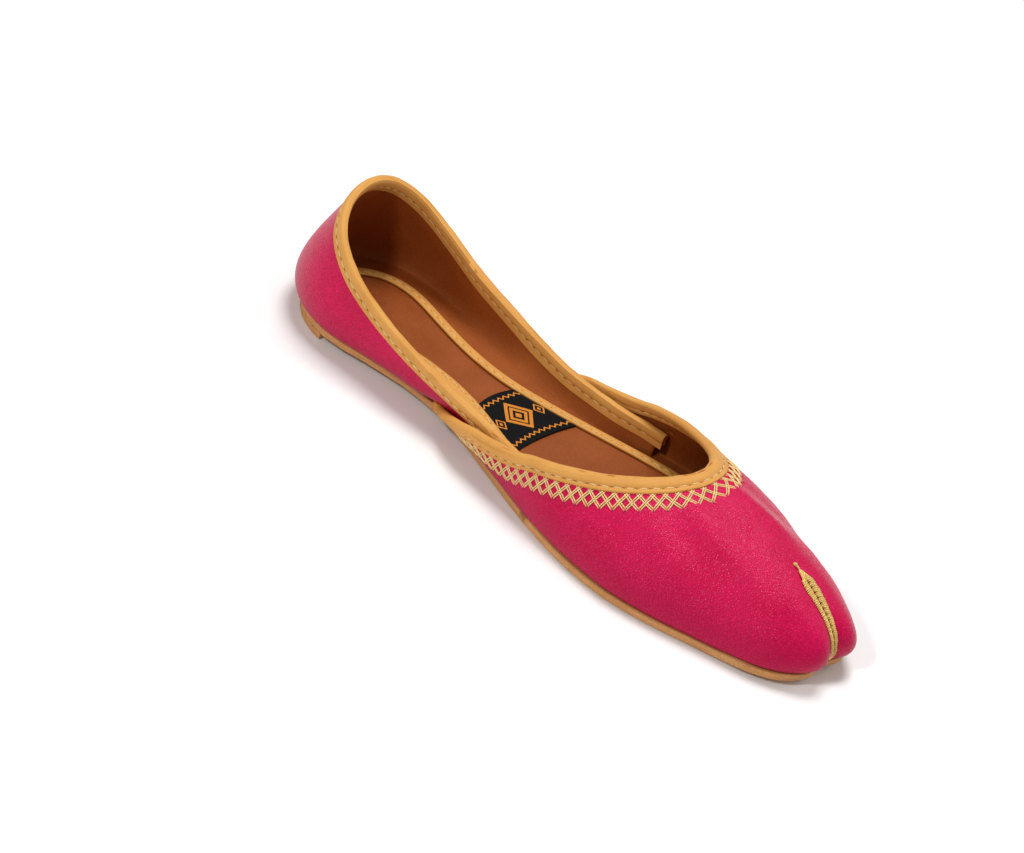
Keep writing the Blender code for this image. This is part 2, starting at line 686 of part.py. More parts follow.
def binding_solid(name, surface, walk, share, limit, sizes, flank_share, free_end):
    """A strip folded over the rim of a wall, following its curve on both flanks."""
    rim = surface(walk, share)
    along = np.gradient(rim, axis=0)
    centred = [k for k in (0, len(walk) - 1) if k != free_end]
    along[centred, 0] = 0.0
    along[centred, 2] = 0.0
    along /= np.linalg.norm(along, axis=1, keepdims=True)
    normal = skin_normal(surface, walk, share)
    down = np.cross(along, normal)
    down /= np.linalg.norm(down, axis=1, keepdims=True)
    down *= -np.sign(np.sum(down * (rim - surface(walk, share * 0.9)), axis=1))[:, None]
    height = rim[:, 2] - surface(walk, np.zeros_like(share))[:, 2]
    thick, crown = sizes["thick"], sizes["crown"]
    flank = sizes["flank"] * np.interp(rim[:, 0], *np.array(flank_share).T)
    outer_low, outer_mid = ((part * np.minimum(flank, 0.72 * height))[:, None] for part in (1.0, 0.5))
    inner_low, inner_mid = ((part * np.minimum(sizes["inner_flank"], 0.5 * height - 1.6))[:, None]
                            for part in (1.0, 0.5))

    def skin(below, out):
        """Points a given way below the rim and off the outer skin."""
        near_walk, near_share = locate(surface, rim + down * below, walk.copy(), share.copy(), limit)
        return surface(near_walk, near_share) + skin_normal(surface, near_walk, near_share) * out

    face_out = JOINT_GAP
    face_in = -WALL - FACET_GAP
    top = -down
    lines = [
        skin(outer_low, face_out + thick),
        skin(outer_mid, face_out + thick),
        rim + normal * (face_out + thick) + top * 0.2,
        rim + normal * (0.35 * face_out) + top * (JOINT_GAP + 0.8 * crown),
        rim - normal * (0.5 * WALL) + top * (JOINT_GAP + crown),
        rim + normal * (face_in + 0.65 * face_out) + top * (JOINT_GAP + 0.8 * crown),
        rim + normal * (face_in - thick) + top * 0.2,
        skin(inner_mid, face_in - thick),
        skin(inner_low, face_in - thick),
        skin(inner_low, face_in),
        skin(inner_mid, face_in),
        rim + normal * face_in + top * JOINT_GAP,
        rim + normal * face_out + top * JOINT_GAP,
        skin(outer_mid, face_out),
        skin(outer_low, face_out),
    ]
    for line in lines:
        line[centred, 1] = 0.0
    builder = bmesh.new()
    made = [[place(builder, point) for point in line] for line in lines]
    grid_faces(builder, made + made[:1])
    loop = [line[free_end] for line in made]
    for corners in BINDING_CAP:
        builder.faces.new([loop[corner] for corner in corners])
    mirrored_copy(builder)
    new_object(name, builder)


def make_vamp_binding():
    """The broad folded strip round the throat, wing to wing."""
    walk, share, _ = throat_places(24)
    start = 2
    binding_solid("vamp_binding", vamp_point, walk[start:], share[start:], EDGE_TOTAL, VAMP_BINDING,
                  VAMP_FLANK_SHARE, 0)


def make_quarter_binding():
    """The rounder folded strip along the quarter's top line."""
    walk = (walk_at(QUARTER_END) - 1.2) * np.linspace(0.0, 1.0, 26) ** 1.1
    share = np.ones_like(walk)
    last = len(walk) - 1
    binding_solid("quarter_binding", quarter_point, walk, share, QUARTER_WALK[-1], QUARTER_BINDING,
                  QUARTER_FLANK_SHARE, last)


def make_toe_braid():
    """The couched braid that lies along the toe seam down to the sole."""
    walks = np.linspace(VAMP_WALK[0], EDGE_TOTAL, 400)
    crest = vamp_point(walks, np.ones_like(walks))
    back = np.interp(BRAID_BACK, crest[:, 0], walks)
    over = np.linspace(back, EDGE_TOTAL, 14)
    nose = np.linspace(1.0, 0.42, 5)[1:]
    walk = np.concatenate((over, np.full(len(nose), EDGE_TOTAL)))
    share = np.concatenate((np.ones(len(over)), nose))
    middle = vamp_point(walk, share)
    run = np.concatenate(((0.0,), np.cumsum(np.linalg.norm(np.diff(middle, axis=0), axis=1))))
    half = BRAID_HALF * np.clip(0.3 + 0.7 * run / BRAID_TIP, 0.3, 1.0)
    lines = {"low": [], "high": []}
    for part in (0.0, 0.5, 1.0):
        target = middle + np.column_stack((np.zeros_like(half), half * part, np.zeros_like(half)))
        near_walk, near_share = walk.copy(), share.copy()
        if part > 0.0:
            near_walk, near_share = locate(vamp_point, target, walk - 1.0, share * 0.93, EDGE_TOTAL)
        spot = vamp_point(near_walk, near_share)
        normal = skin_normal(vamp_point, near_walk, near_share)
        lines["low"].append(spot + normal * BRAID_GAP)
        lines["high"].append(spot + normal * (BRAID_GAP + BRAID_THICK * (1.0 - 0.35 * part)))
    builder = bmesh.new()
    low = [[place(builder, point) for point in line] for line in lines["low"]]
    high = [[place(builder, point) for point in line] for line in lines["high"]]
    grid_faces(builder, low)
    grid_faces(builder, high, flip=True)
    grid_faces(builder, [low[-1], high[-1]])
    for end in (0, -1):
        grid_faces(builder, [[line[end] for line in low], [line[end] for line in high]])
    mirrored_copy(builder)
    new_object("toe_braid", builder)


def clear_scene():
    """Start from an empty scene."""
    for thing in list(bpy.data.objects):
        bpy.data.objects.remove(thing, do_unlink=True)


clear_scene()
make_outsole()
make_heel_lift()
make_upper()
make_insole()
make_insole_binding()
make_label()
make_vamp_binding()
make_quarter_binding()
make_toe_braid()
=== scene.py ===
"""The finished look of a pink leather jutti flat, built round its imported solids.

Places on the shoe are in millimetres: x from the back of the heel to the toe, y
from the centre plane, z from the floor. Threads, needle holes, reliefs and the
studio are in metres, as the frame is.
"""
import math
import random
from types import SimpleNamespace

import bmesh
import bpy
import numpy as np
from mathutils import Matrix, Vector
from mathutils.bvhtree import BVHTree


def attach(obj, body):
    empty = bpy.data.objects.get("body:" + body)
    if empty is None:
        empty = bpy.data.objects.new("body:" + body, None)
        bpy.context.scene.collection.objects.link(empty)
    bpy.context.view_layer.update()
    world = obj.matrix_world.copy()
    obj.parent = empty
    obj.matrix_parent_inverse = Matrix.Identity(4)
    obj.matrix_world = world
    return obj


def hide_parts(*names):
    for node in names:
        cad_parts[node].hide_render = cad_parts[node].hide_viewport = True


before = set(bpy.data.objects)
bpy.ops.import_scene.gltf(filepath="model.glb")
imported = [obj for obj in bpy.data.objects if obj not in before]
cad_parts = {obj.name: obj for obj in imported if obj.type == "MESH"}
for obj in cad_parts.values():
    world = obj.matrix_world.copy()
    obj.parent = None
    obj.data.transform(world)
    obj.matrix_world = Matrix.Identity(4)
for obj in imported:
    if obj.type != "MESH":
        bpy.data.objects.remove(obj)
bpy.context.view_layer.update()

# ---- Camera ----
# A long lens looks down on the near side of the shoe, rolled so that the heel
# stands at the upper left and the toe at the lower right.


def placed(name, data):
    """An object for its data, put in the scene."""
    thing = bpy.data.objects.new(name, data)
    bpy.context.collection.objects.link(thing)
    return thing


camera_data = bpy.data.cameras.new("camera")
camera_data.sensor_width = 36.0
camera_data.lens = 148.07
camera_data.clip_start = 0.01
camera_data.clip_end = 20.0
camera = placed("camera", camera_data)
camera.matrix_world = Matrix((
    (0.7077, -0.5547, 0.4375, 0.6073),
    (0.6533, 0.2782, -0.7041, -1.0145),
    (0.2688, 0.7842, 0.5593, 0.8087),
    (0.0, 0.0, 0.0, 1.0)))
bpy.context.scene.camera = camera

# ---- Studio ----
# A white sweep under the shoe, a large soft light overhead, a smaller key from
# the left of the camera and a pale surround that fills the shadows.
FLOOR_REACH = 6.0


def mesh_of(name, work):
    """The mesh of a finished bmesh, which is let go."""
    mesh = bpy.data.meshes.new(name)
    work.to_mesh(mesh)
    work.free()
    return mesh


def new_material(name):
    """A plain material, its tree and its shader."""
    finish = bpy.data.materials.new(name)
    finish.use_nodes = True
    return finish, finish.node_tree, finish.node_tree.nodes["Principled BSDF"]


def fill(tree, made, sockets):
    """Set a node's sockets, or link them."""
    for key, value in sockets.items():
        if isinstance(value, bpy.types.NodeSocket):
            tree.links.new(value, made.inputs[key])
        else:
            made.inputs[key].default_value = value


sweep = bmesh.new()
bmesh.ops.create_grid(sweep, x_segments=2, y_segments=2, size=FLOOR_REACH)
floor = placed("floor", mesh_of("floor", sweep))
floor_paint, floor_tree, floor_shader = new_material("floor_paint")
fill(floor_tree, floor_shader, {"Base Color": (0.86, 0.855, 0.85, 1.0), "Roughness": 0.8,
                                "Specular IOR Level": 0.1})
floor.data.materials.append(floor_paint)

surround = bpy.data.worlds.new("surround")
bpy.context.scene.world = surround
surround.use_nodes = True
fill(surround.node_tree, surround.node_tree.nodes["Background"], {
    "Color": (1.0, 0.99, 0.985, 1.0), "Strength": 0.30})
bpy.context.scene.view_settings.view_transform = "Standard"

for name, place, target, size, power in (
        ("overhead", (-0.20, 0.26, 1.28), (0.04, 0.0, 0.0), 0.62, 12.6),
        ("key", (-0.06, -1.02, 0.98), (0.03, -0.02, 0.02), 0.18, 6.4),
        ("low key", (0.04, -1.20, 0.24), (0.06, -0.02, 0.02), 0.10, 1.3),
        ("rim", (0.75, 0.75, 0.9), (0.05, 0.0, 0.02), 0.8, 3.5)):
    lamp = bpy.data.lights.new(name, "AREA")
    lamp.shape = "DISK"
    lamp.size = size
    lamp.energy = power
    light = placed(name, lamp)
    light.location = place
    light.rotation_euler = (Vector(target) - Vector(place)).to_track_quat("-Z", "Y").to_euler()

# ---- Upper ----
# The wall of the shoe: pebbled pink goat leather outside and brown lining
# leather inside, pasted together, lasted wet over a straight last and turned in
# under the insole.
MM = 0.001
ORIGIN_X = 124.6
HEEL = (ORIGIN_X, 0.0, 0.0)
MERGE_REACH = 5e-6
FLAT_TURN = 0.8
SKEWED_TURN = 1.2
CREASE_ANGLE = 0.9
CREASE = 0.75
ROUNDING = 2


def shown(name, mesh, materials, body="root"):
    """Make an object for a finished mesh, dressed and riding on its body."""
    mesh.shade_smooth()
    piece = placed(name, mesh)
    for finish in materials:
        mesh.materials.append(finish)
    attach(piece, body)
    return piece


def merged(part):
    """A copy of a solid's triangles, joined at their corners."""
    work = bmesh.new()
    work.from_mesh(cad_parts[part].data)
    bmesh.ops.remove_doubles(work, verts=work.verts, dist=MERGE_REACH)
    return work


def rounded_copy(part):
    """A merged copy of a solid, its quads rebuilt and its surface rounded."""
    work = merged(part)
    bmesh.ops.join_triangles(
        work, faces=work.faces, cmp_seam=False, cmp_sharp=False, cmp_uvs=False, cmp_vcols=False,
        cmp_materials=False, angle_face_threshold=FLAT_TURN, angle_shape_threshold=SKEWED_TURN)
    crease = work.edges.layers.float.new("crease_edge")
    for edge in work.edges:
        if edge.is_manifold and edge.calc_face_angle() > CREASE_ANGLE:
            edge[crease] = CREASE
    holder = placed(part + "_rough", mesh_of(part + "_rough", work))
    smoother = holder.modifiers.new("rounded", "SUBSURF")
    smoother.levels = smoother.render_levels = ROUNDING
    graph = bpy.context.evaluated_depsgraph_get()
    mesh = bpy.data.meshes.new_from_object(holder.evaluated_get(graph))
    bpy.data.objects.remove(holder)
    if "crease_edge" in mesh.attributes:
        mesh.attributes.remove(mesh.attributes["crease_edge"])
    mesh.materials.clear()
    return mesh


def mesh_points(mesh):
    """Vertices of a mesh in millimetres on the shoe."""
    points = np.empty(len(mesh.vertices) * 3)
    mesh.vertices.foreach_get("co", points)
    return points.reshape(-1, 3) / MM + HEEL


def set_points(mesh, points):
    """Put vertices back from millimetres on the shoe."""
    mesh.vertices.foreach_set("co", ((points - HEEL) * MM).ravel())
    mesh.update()


def ease(part):
    """A soft step from 0 to 1."""
    part = np.clip(part, 0.0, 1.0)
    return part * part * (3.0 - 2.0 * part)


# soft folds: x, y and z of both ends, half the width, and the rise
VAMP_FOLDS = (
    (184, -13, 35, 214, -16.5, 29, 3, 0.85),
    (186, -21.5, 32, 210, -23, 25, 3.4, -0.85),
    (180, -26, 30, 200, -31, 20, 3, 0.55),
    (183, -5, 36.5, 206, -6, 33, 4, -0.80),
    (183, 6, 36.5, 212, 8, 32, 3.4, 0.75),
    (182, 14.5, 34.5, 208, 18, 29, 3.6, -0.75),
    (176, 24, 31, 206, 27, 23, 3, 0.60),
    (214, -18, 24, 232, -15, 20, 5, 0.40),
    (214, 18, 24, 232, 15, 20, 5, 0.35),
    (150, -36, 18, 176, -38.5, 12, 4, -0.25),
    (150, 36, 18, 176, 38.5, 12, 4, -0.25),
)
QUARTER_FOLDS = (
    (44, -27.5, 8, 47, -27, 16, 1.6, -0.35),
    (50, -27, 7, 52, -26.5, 14, 1.5, -0.30),
    (57, -26, 7, 61, -26, 13, 1.6, -0.35),
    (66, -25, 7, 69, -25.5, 12, 1.5, -0.25),
    (46, 27.5, 8, 48, 27, 15, 1.6, -0.35),
    (55, 26.5, 7, 59, 26, 14, 1.6, -0.30),
    (64, 25, 7, 66, 25.5, 12, 1.5, -0.30),
    (8, -10, 8, 10, -14, 30, 6, 0.30),
)
FOLD_FADE_IN = 0.45
FOLD_FADE_OUT = 0.55
FOLD_OVERRUN = 0.25
FOLD_HEIGHT = 28.0
FOLD_HEIGHT_FADE = 16.0


def pressed(points, normals, folds):
    """Push a surface in and out along soft folds."""
    push = np.zeros(len(points))
    for x0, y0, z0, x1, y1, z1, width, rise in folds:
        start, end = np.array((x0, y0, z0)), np.array((x1, y1, z1))
        run = end - start
        along = (points - start) @ run / (run @ run)
        near = start + np.clip(along, 0.0, 1.0)[:, None] * run
        away = np.linalg.norm((points - near)[:, :2], axis=1)
        fade = (ease((along + FOLD_OVERRUN) / FOLD_FADE_IN)
                * ease((1.0 + FOLD_OVERRUN - along) / FOLD_FADE_OUT))
        low = ease((FOLD_HEIGHT - np.abs(points[:, 2] - near[:, 2])) / FOLD_HEIGHT_FADE)
        push += rise * np.exp(-(away / width) ** 2) * fade * low
    return points + normals * push[:, None]


# the free ends of the quarter, which lie inside the vamp
QUARTER_TIP = 140.5
FREE_FROM = 122.0
FREE_HALF = 29.9
FREE_SPREAD = 0.143
FREE_TOP = 18.0
FREE_PAST = 2.0
PUSH = 2.1
PUSH_RUN = 15.0
PUSH_FOOT = 7.0
PUSH_RISE = 6.0


def against_lining(points):
    """Lay the free ends of the quarter out against the lining of the vamp."""
    x, y, z = points.T
    free = ((np.abs(y) < FREE_HALF + FREE_SPREAD * (x - FREE_FROM)) & (z < FREE_TOP)
            & (x < QUARTER_TIP + FREE_PAST))
    push = PUSH * ease((x - FREE_FROM) / PUSH_RUN) * ease((z - PUSH_FOOT) / PUSH_RISE) * free
    moved = points.copy()
    moved[:, 1] += np.sign(y) * push
    return moved


def vertex_normals(mesh):
    """Normals of a mesh's vertices."""
    normals = np.empty(len(mesh.vertices) * 3)
    mesh.vertex_normals.foreach_get("vector", normals)
    return normals.reshape(-1, 3)


def node(tree, kind, sockets, **settings):
    """Add a node, with its settings and sockets."""
    made = tree.nodes.new("ShaderNode" + kind)
    for key, value in settings.items():
        setattr(made, key, value)
    fill(tree, made, sockets)
    return made


def maths(tree, operation, first, second=0.0):
    """One sum on values."""
    return node(tree, "Math", {0: first, 1: second}, operation=operation).outputs[0]


def spread(tree, value, low, high, to_low=0.0, to_high=1.0):
    """Stretch a value from one range to another, held at its ends."""
    return node(tree, "MapRange", {
        "Value": value, "From Min": low, "From Max": high, "To Min": to_low, "To Max": to_high,
    }).outputs[0]


def noise(tree, place, scale, detail=2.0, rough=0.5):
    """A cloudy value at a place."""
    return node(tree, "TexNoise", {
        "Vector": place, "Scale": scale, "Detail": detail, "Roughness": rough}).outputs["Fac"]


def own_place(tree):
    """The place on a piece, in metres of the frame."""
    return node(tree, "TexCoord", {}).outputs["Object"]


def squeezed(tree, place, scale):
    """A place drawn together along some axes, so that a pattern runs out into streaks."""
    return node(tree, "Mapping", {"Vector": place, "Scale": scale}).outputs[0]


def tint(tree, amount, first, second):
    """Mix two colours by an amount."""
    first, second = (colour if isinstance(colour, bpy.types.NodeSocket) else (*colour, 1.0)
                     for colour in (first, second))
    return node(tree, "Mix", {0: amount, 6: first, 7: second}, data_type="RGBA").outputs[2]


def add_relief(tree, shader, height, distance, under=None):
    """Give a shader relief from a height, over any that is there already."""
    sockets = {"Height": height, "Distance": distance, "Strength": 1.0}
    relief = node(tree, "Bump", sockets | ({} if under is None else {"Normal": under})).outputs[0]
    fill(tree, shader, {"Normal": relief})
    return relief


def new_group(name, inputs, outputs):
    """An empty group of nodes with named sockets."""
    tree = bpy.data.node_groups.new(name, "ShaderNodeTree")
    for label, value in inputs:
        kind = "NodeSocketVector" if value is None else "NodeSocketFloat"
        socket = tree.interface.new_socket(label, in_out="INPUT", socket_type=kind)
        if value is not None:
            socket.default_value = value
    for label in outputs:
        tree.interface.new_socket(label, in_out="OUTPUT", socket_type="NodeSocketFloat")
    return tree, tree.nodes.new("NodeGroupInput").outputs, tree.nodes.new("NodeGroupOutput").inputs


def make_grain():
    """Pebbles of a drummed hide: their height, the valleys between and a slow mottle."""
    tree, given, result = new_group(
        "hide_grain", (("Place", None), ("Cells", 1300.0), ("Warp", 0.0006), ("Fine", 5200.0)),
        ("Height", "Valley", "Mottle"))
    wander = node(tree, "TexNoise", {
        "Vector": given["Place"], "Scale": 420.0, "Detail": 2.0}).outputs["Color"]
    centred = node(tree, "VectorMath", {0: wander, 1: (0.5, 0.5, 0.5)},
                   operation="SUBTRACT").outputs[0]
    moved = node(tree, "VectorMath", {0: centred, "Scale": given["Warp"]},
                 operation="SCALE").outputs[0]
    place = node(tree, "VectorMath", {0: given["Place"], 1: moved},
                 operation="ADD").outputs[0]
    cells = node(tree, "TexVoronoi", {"Vector": place, "Scale": given["Cells"]},
                 feature="DISTANCE_TO_EDGE").outputs["Distance"]
    pebble = spread(tree, cells, 0.0, 0.34)
    fine = noise(tree, given["Place"], given["Fine"], 3.0)
    height = maths(tree, "ADD", maths(tree, "MULTIPLY", pebble, 0.8),
                   maths(tree, "MULTIPLY", fine, 0.20))
    tree.links.new(height, result["Height"])
    tree.links.new(maths(tree, "SUBTRACT", 1.0, pebble), result["Valley"])
    tree.links.new(noise(tree, given["Place"], 70.0, 3.0), result["Mottle"])
    return tree


GRAIN = make_grain()


def leather(name, colour, deep, pale, cells, depth, rough, gleam, fine=5200.0, sheen=0.35,
            valley=0.45):
    """A leather with its grain, mottled colour and broken gloss, as its parts."""
    finish, tree, shader = new_material(name)
    grain = node(tree, "Group", {
        "Place": own_place(tree), "Cells": cells, "Fine": fine}, node_tree=GRAIN)
    mottle = grain.outputs["Mottle"]
    shade = tint(tree, spread(tree, mottle, 0.35, 0.68), colour, pale)
    shade = tint(tree, maths(tree, "MULTIPLY", grain.outputs["Valley"], valley), shade, deep)
    gloss = maths(tree, "ADD", spread(tree, mottle, 0.3, 0.7, rough - 0.04, rough + 0.05),
                  maths(tree, "MULTIPLY", grain.outputs["Valley"], 0.12))
    relief = add_relief(tree, shader, grain.outputs["Height"], depth)
    fill(tree, shader, {"Base Color": shade, "Roughness": gloss, "Specular IOR Level": sheen,
                        "Specular Tint": (*gleam, 1.0)})
    return SimpleNamespace(finish=finish, tree=tree, shader=shader, shade=shade, relief=relief)


# pink outside, with painted shade darkening it where the wall turns in to the sole
pink = leather(
    "pink_goat_leather", (0.66, 0.0010, 0.070), (0.22, 0.0002, 0.016), (0.75, 0.002, 0.094),
    cells=1300.0, depth=0.00010, rough=0.29, gleam=(1.0, 0.32, 0.50), sheen=0.42, valley=0.55)
pink_height = node(pink.tree, "SeparateXYZ", {0: own_place(pink.tree)}).outputs["Z"]
# painted shade: the pink is darkened from 20 mm above the floor down to the sole
painted_foot_shade = spread(pink.tree, pink_height, 0.003, 0.020, 0.62, 0.0)
fill(pink.tree, pink.shader, {
    "Base Color": tint(pink.tree, painted_foot_shade, pink.shade, (0.30, 0.002, 0.035))})

# brown inside, wrinkled towards the toe, with painted shade darkening it deep in the toe
lining = leather(
    "brown_lining_leather", (0.31, 0.070, 0.012), (0.14, 0.028, 0.005), (0.37, 0.090, 0.018),
    cells=2200.0, depth=0.00009, rough=0.34, gleam=(1.0, 0.50, 0.24), sheen=0.45)
lining_place = own_place(lining.tree)
streaks = noise(lining.tree, squeezed(lining.tree, lining_place, (1.0, 1.0, 0.22)),
                620.0, 4.0, 0.65)
lining_x = node(lining.tree, "SeparateXYZ", {0: lining_place}).outputs["X"]
toe_only = spread(lining.tree, lining_x, 0.010, 0.045)
wrinkle = maths(lining.tree, "MULTIPLY", spread(lining.tree, streaks, 0.42, 0.62), toe_only)
add_relief(lining.tree, lining.shader, wrinkle, 0.00035, lining.relief)
# painted shade: the lining darkens towards the toe, where it lies deep inside the shoe
painted_toe_shade = tint(lining.tree, maths(lining.tree, "MULTIPLY", toe_only, 0.55), lining.shade,
                (0.06, 0.012, 0.003))
fill(lining.tree, lining.shader, {"Base Color": painted_toe_shade})

# a face is lining where it looks at the core of the shoe, or is a cut end of
# the quarter
CORE_BACK = -98.0
CORE_FRONT = 92.0
CORE_HEIGHT = 14.0
OUTWARD = 0.12
CUT_REACH = 4.0
CUT_HALF = 32.6
CUT_TOP = 17.8
CUT_FACING = 0.35
upper_mesh = rounded_copy("upper")
upper_points = pressed(mesh_points(upper_mesh), vertex_normals(upper_mesh),
                       VAMP_FOLDS + QUARTER_FOLDS)
set_points(upper_mesh, against_lining(upper_points))
upper = shown("upper_wall", upper_mesh, (pink.finish, lining.finish))
upper_faces = upper_mesh.polygons
for face in upper_faces:
    centre = face.center / MM
    core = Vector((min(max(centre.x, CORE_BACK), CORE_FRONT), 0.0, CORE_HEIGHT))
    cut_end = (abs(centre.x + ORIGIN_X - QUARTER_TIP) < CUT_REACH and abs(centre.y) < CUT_HALF
               and centre.z < CUT_TOP and face.normal.x > CUT_FACING)
    inner = cut_end or face.normal.dot((centre - core).normalized()) < OUTWARD
    face.material_index = 1 if inner else 0
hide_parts("upper")


def tree_of(mesh, wanted=None):
    """A search tree over a finished mesh, or over some of its faces."""
    return BVHTree.FromPolygons([vert.co.copy() for vert in mesh.vertices],
                                [tuple(face.vertices) for face in mesh.polygons
                                 if wanted is None or wanted[face.index]])


face_skins = np.array([face.material_index for face in upper_faces])
face_centres = np.array([face.center for face in upper_faces]) / MM + HEEL
face_pulls = np.array([np.array(face.normal) * face.area for face in upper_faces])
upper_tree = tree_of(upper_mesh)
outer_tree = tree_of(upper_mesh, face_skins == 0)
inner_tree = tree_of(upper_mesh, face_skins == 1)

# ---- Outsole and heel lift ----
# Vegetable-tanned leather, cut with a knife and waxed on its edge; a half-moon
# lift of the same leather is pegged under the heel.
SHARP_ANGLE = 0.8
FLAT_ANGLE = 0.01
EDGE_BREAK = 0.0004
SOLE_SHARP = 0.6
LIFT_STRETCH = 2.65 / 2.2
sole = leather(
    "tan_sole_leather", (0.62, 0.300, 0.115), (0.38, 0.160, 0.052), (0.70, 0.36, 0.15),
    cells=900.0, depth=0.00006, rough=0.58, gleam=(1.0, 0.85, 0.65), fine=2600.0, sheen=0.2)
sole_place = own_place(sole.tree)
layers = noise(sole.tree, squeezed(sole.tree, sole_place, (0.06, 0.06, 1.0)), 1500.0, 3.0)
fibre = maths(sole.tree, "MULTIPLY", spread(sole.tree, layers, 0.35, 0.65), 0.4)
fibrous = tint(sole.tree, fibre, sole.shade, (0.42, 0.19, 0.065))
fleck = spread(sole.tree, noise(sole.tree, sole_place, 160.0, 4.0), 0.60, 0.72, 0.0, 0.7)
fill(sole.tree, sole.shader, {"Base Color": tint(sole.tree, fleck, fibrous, (0.22, 0.09, 0.03))})


def trimmed_copy(part, taller):
    """A merged copy of a solid with its sharp edges broken."""
    work = merged(part)
    bmesh.ops.dissolve_limit(work, angle_limit=FLAT_ANGLE, verts=work.verts, edges=work.edges)
    sharp = [edge for edge in work.edges
             if edge.is_manifold and edge.calc_face_angle() > SHARP_ANGLE]
    bmesh.ops.bevel(work, geom=sharp, offset=EDGE_BREAK, segments=2, profile=0.6,
                    affect="EDGES", clamp_overlap=True)
    bmesh.ops.triangulate(work, faces=[face for face in work.faces if len(face.verts) > 4])
    bmesh.ops.scale(work, verts=work.verts, vec=(1.0, 1.0, taller))
    return mesh_of(part + "_trimmed", work)


for part, name, taller in (("outsole", "leather_outsole", 1.0),
                           ("heel_lift", "leather_heel_lift", LIFT_STRETCH)):
    trimmed = shown(name, trimmed_copy(part, taller), [sole.finish])
    trimmed.data.set_sharp_from_angle(angle=SOLE_SHARP)
    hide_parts(part)

# ---- Insole ----
# A board covered with brown sock leather, polished by wear, inside a narrow
# folded strip of tan leather that is sewn all round.
sock = leather(
    "brown_sock_leather", (0.255, 0.052, 0.007), (0.16, 0.031, 0.004), (0.31, 0.074, 0.014),
    cells=2100.0, depth=0.00007, rough=0.34, gleam=(1.0, 0.60, 0.36), sheen=0.50)


def dress(part, finish):
    """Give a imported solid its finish."""
    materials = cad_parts[part].data.materials
    materials.clear()
    materials.append(finish)


dress("insole", sock.finish)

tan = leather(
    "tan_binding_leather", (0.66, 0.310, 0.070), (0.46, 0.19, 0.036), (0.73, 0.37, 0.096),
    cells=3200.0, depth=0.00004, rough=0.42, gleam=(1.0, 0.82, 0.55), sheen=0.3)
strip = shown("insole_strip", rounded_copy("insole_binding"), [tan.finish])
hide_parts("insole_binding")
strip_tree = tree_of(strip.data)

# ---- Bindings ----
# Strips of tan leather folded over the raw edge of the vamp and of the quarter
# and sewn through from the outside, which leaves a groove along each row.
CURVE_POINTS = 1200
RING_STEP = 0.7
WALK_STEP = 0.5
RIM_REACH = 5.0
RIM_SKIP = 1.0
HALF_WALL = 0.9
START_OFF = 0.3
RIM_DROP = 1.5
RIM_SIDE = 1.2
RAY_BACK = 7.0
RAY_RUN = 9.0
SPOT_PASSES = 6
NORMAL_PASSES = 8
SIDE_PASSES = 10
REACH_PASSES = 4
SECTION_PASSES = 3
CREST_POINTS = 9
CREST_SINK = 0.5
PUCKER_PITCH = 4.0
GROOVE_PUCKER = 0.16
INNER_PUCKER = 0.14
SIDE_PUCKER = 0.05
LEAST_SCALE = 0.08
HIDDEN_SHARE = 0.6
HIDDEN_SINK = 0.3
TIP_RUN = 9.0
TIP_THIN = 0.75
FLANK_CLEAR = 0.28
CREST_CLEAR = 0.22
TIP_CLEAR = 0.40
CLEAR_ANGLE = 1.3
CUT_RINGS = 5
STRIP_SHARP = 1.1
# the uneven hand of the fold: the size, pace and start of each wave in its thickness
SWAYS = ((0.05, 0.37, 0.0), (0.04, 0.83, 1.0))
# how far past its last ring a strip's tip runs, and how thick it is there
STRIP_TAIL = ((0.9, 0.98), (1.8, 0.94), (2.7, 0.84), (3.5, 0.64), (4.1, 0.30))
THROAT_EYE = Vector((-0.010, 0.0, 0.060))
QUARTER_EYE = Vector((-0.040, 0.0, 0.090))
THROAT_EDGE = (
    (84, 21.5, 8), (94, 28.8, 11), (106, 33.7, 15.4), (120, 34.8, 19.6),
    (134, 32.4, 23.4), (148, 28.2, 27), (160, 22.6, 30.6), (169.5, 15.6, 34),
    (175.5, 7.6, 36.4), (177.4, 0, 37.2),
)
QUARTER_EDGE = (
    (140, 31.1, 16), (132, 29.9, 16.2), (122, 27.8, 16.4), (104, 26.2, 17.2),
    (86.5, 26.4, 19.4), (69, 27, 22.8), (52, 26.6, 27.2), (37, 25.8, 33.6),
    (24.5, 21.6, 41.4), (17.4, 12.5, 48), (15.4, 0, 51),
)
# each row of a flank: how far below the rim and how high over the wall
VAMP_OUTSIDE = (
    (6.40, -0.05), (6.44, 0.40), (6.25, 0.62), (5.70, 0.70), (4.95, 0.64), (4.35, 0.34),
    (3.85, 0.70), (3.30, 0.92), (2.65, 1.02), (1.90, 1.02), (1.15, 0.96), (0.50, 0.90),
)
VAMP_INSIDE = (
    (0.50, 0.62), (1.20, 0.74), (1.90, 0.72), (2.40, 0.56), (2.75, 0.32), (3.10, 0.46),
    (3.70, 0.52), (4.25, 0.48), (4.55, 0.34), (4.60, -0.05),
)
# share of the outer flank that shows at each x
VAMP_NARROWING = ((94, 0.58), (130, 0.61), (150, 0.72), (165, 0.84), (178, 0.90))
QUARTER_OUTSIDE = (
    (4.60, -0.05), (4.62, 0.34), (4.40, 0.52), (3.85, 0.58), (3.30, 0.48), (2.90, 0.22),
    (2.50, 0.50), (2.05, 0.76), (1.50, 0.88), (1.00, 0.90), (0.50, 0.84),
)
QUARTER_INSIDE = (
    (0.50, 0.66), (1.00, 0.74), (1.60, 0.74), (2.05, 0.60), (2.40, 0.38), (2.65, 0.18),
    (3.00, 0.38), (3.60, 0.45), (4.40, 0.44), (4.90, 0.36), (5.05, 0.22), (5.08, -0.05),
)


def walked_to(points):
    """The way walked to each point of a line."""
    return np.concatenate(((0.0,), np.cumsum(np.linalg.norm(np.diff(points, axis=0), axis=1))))


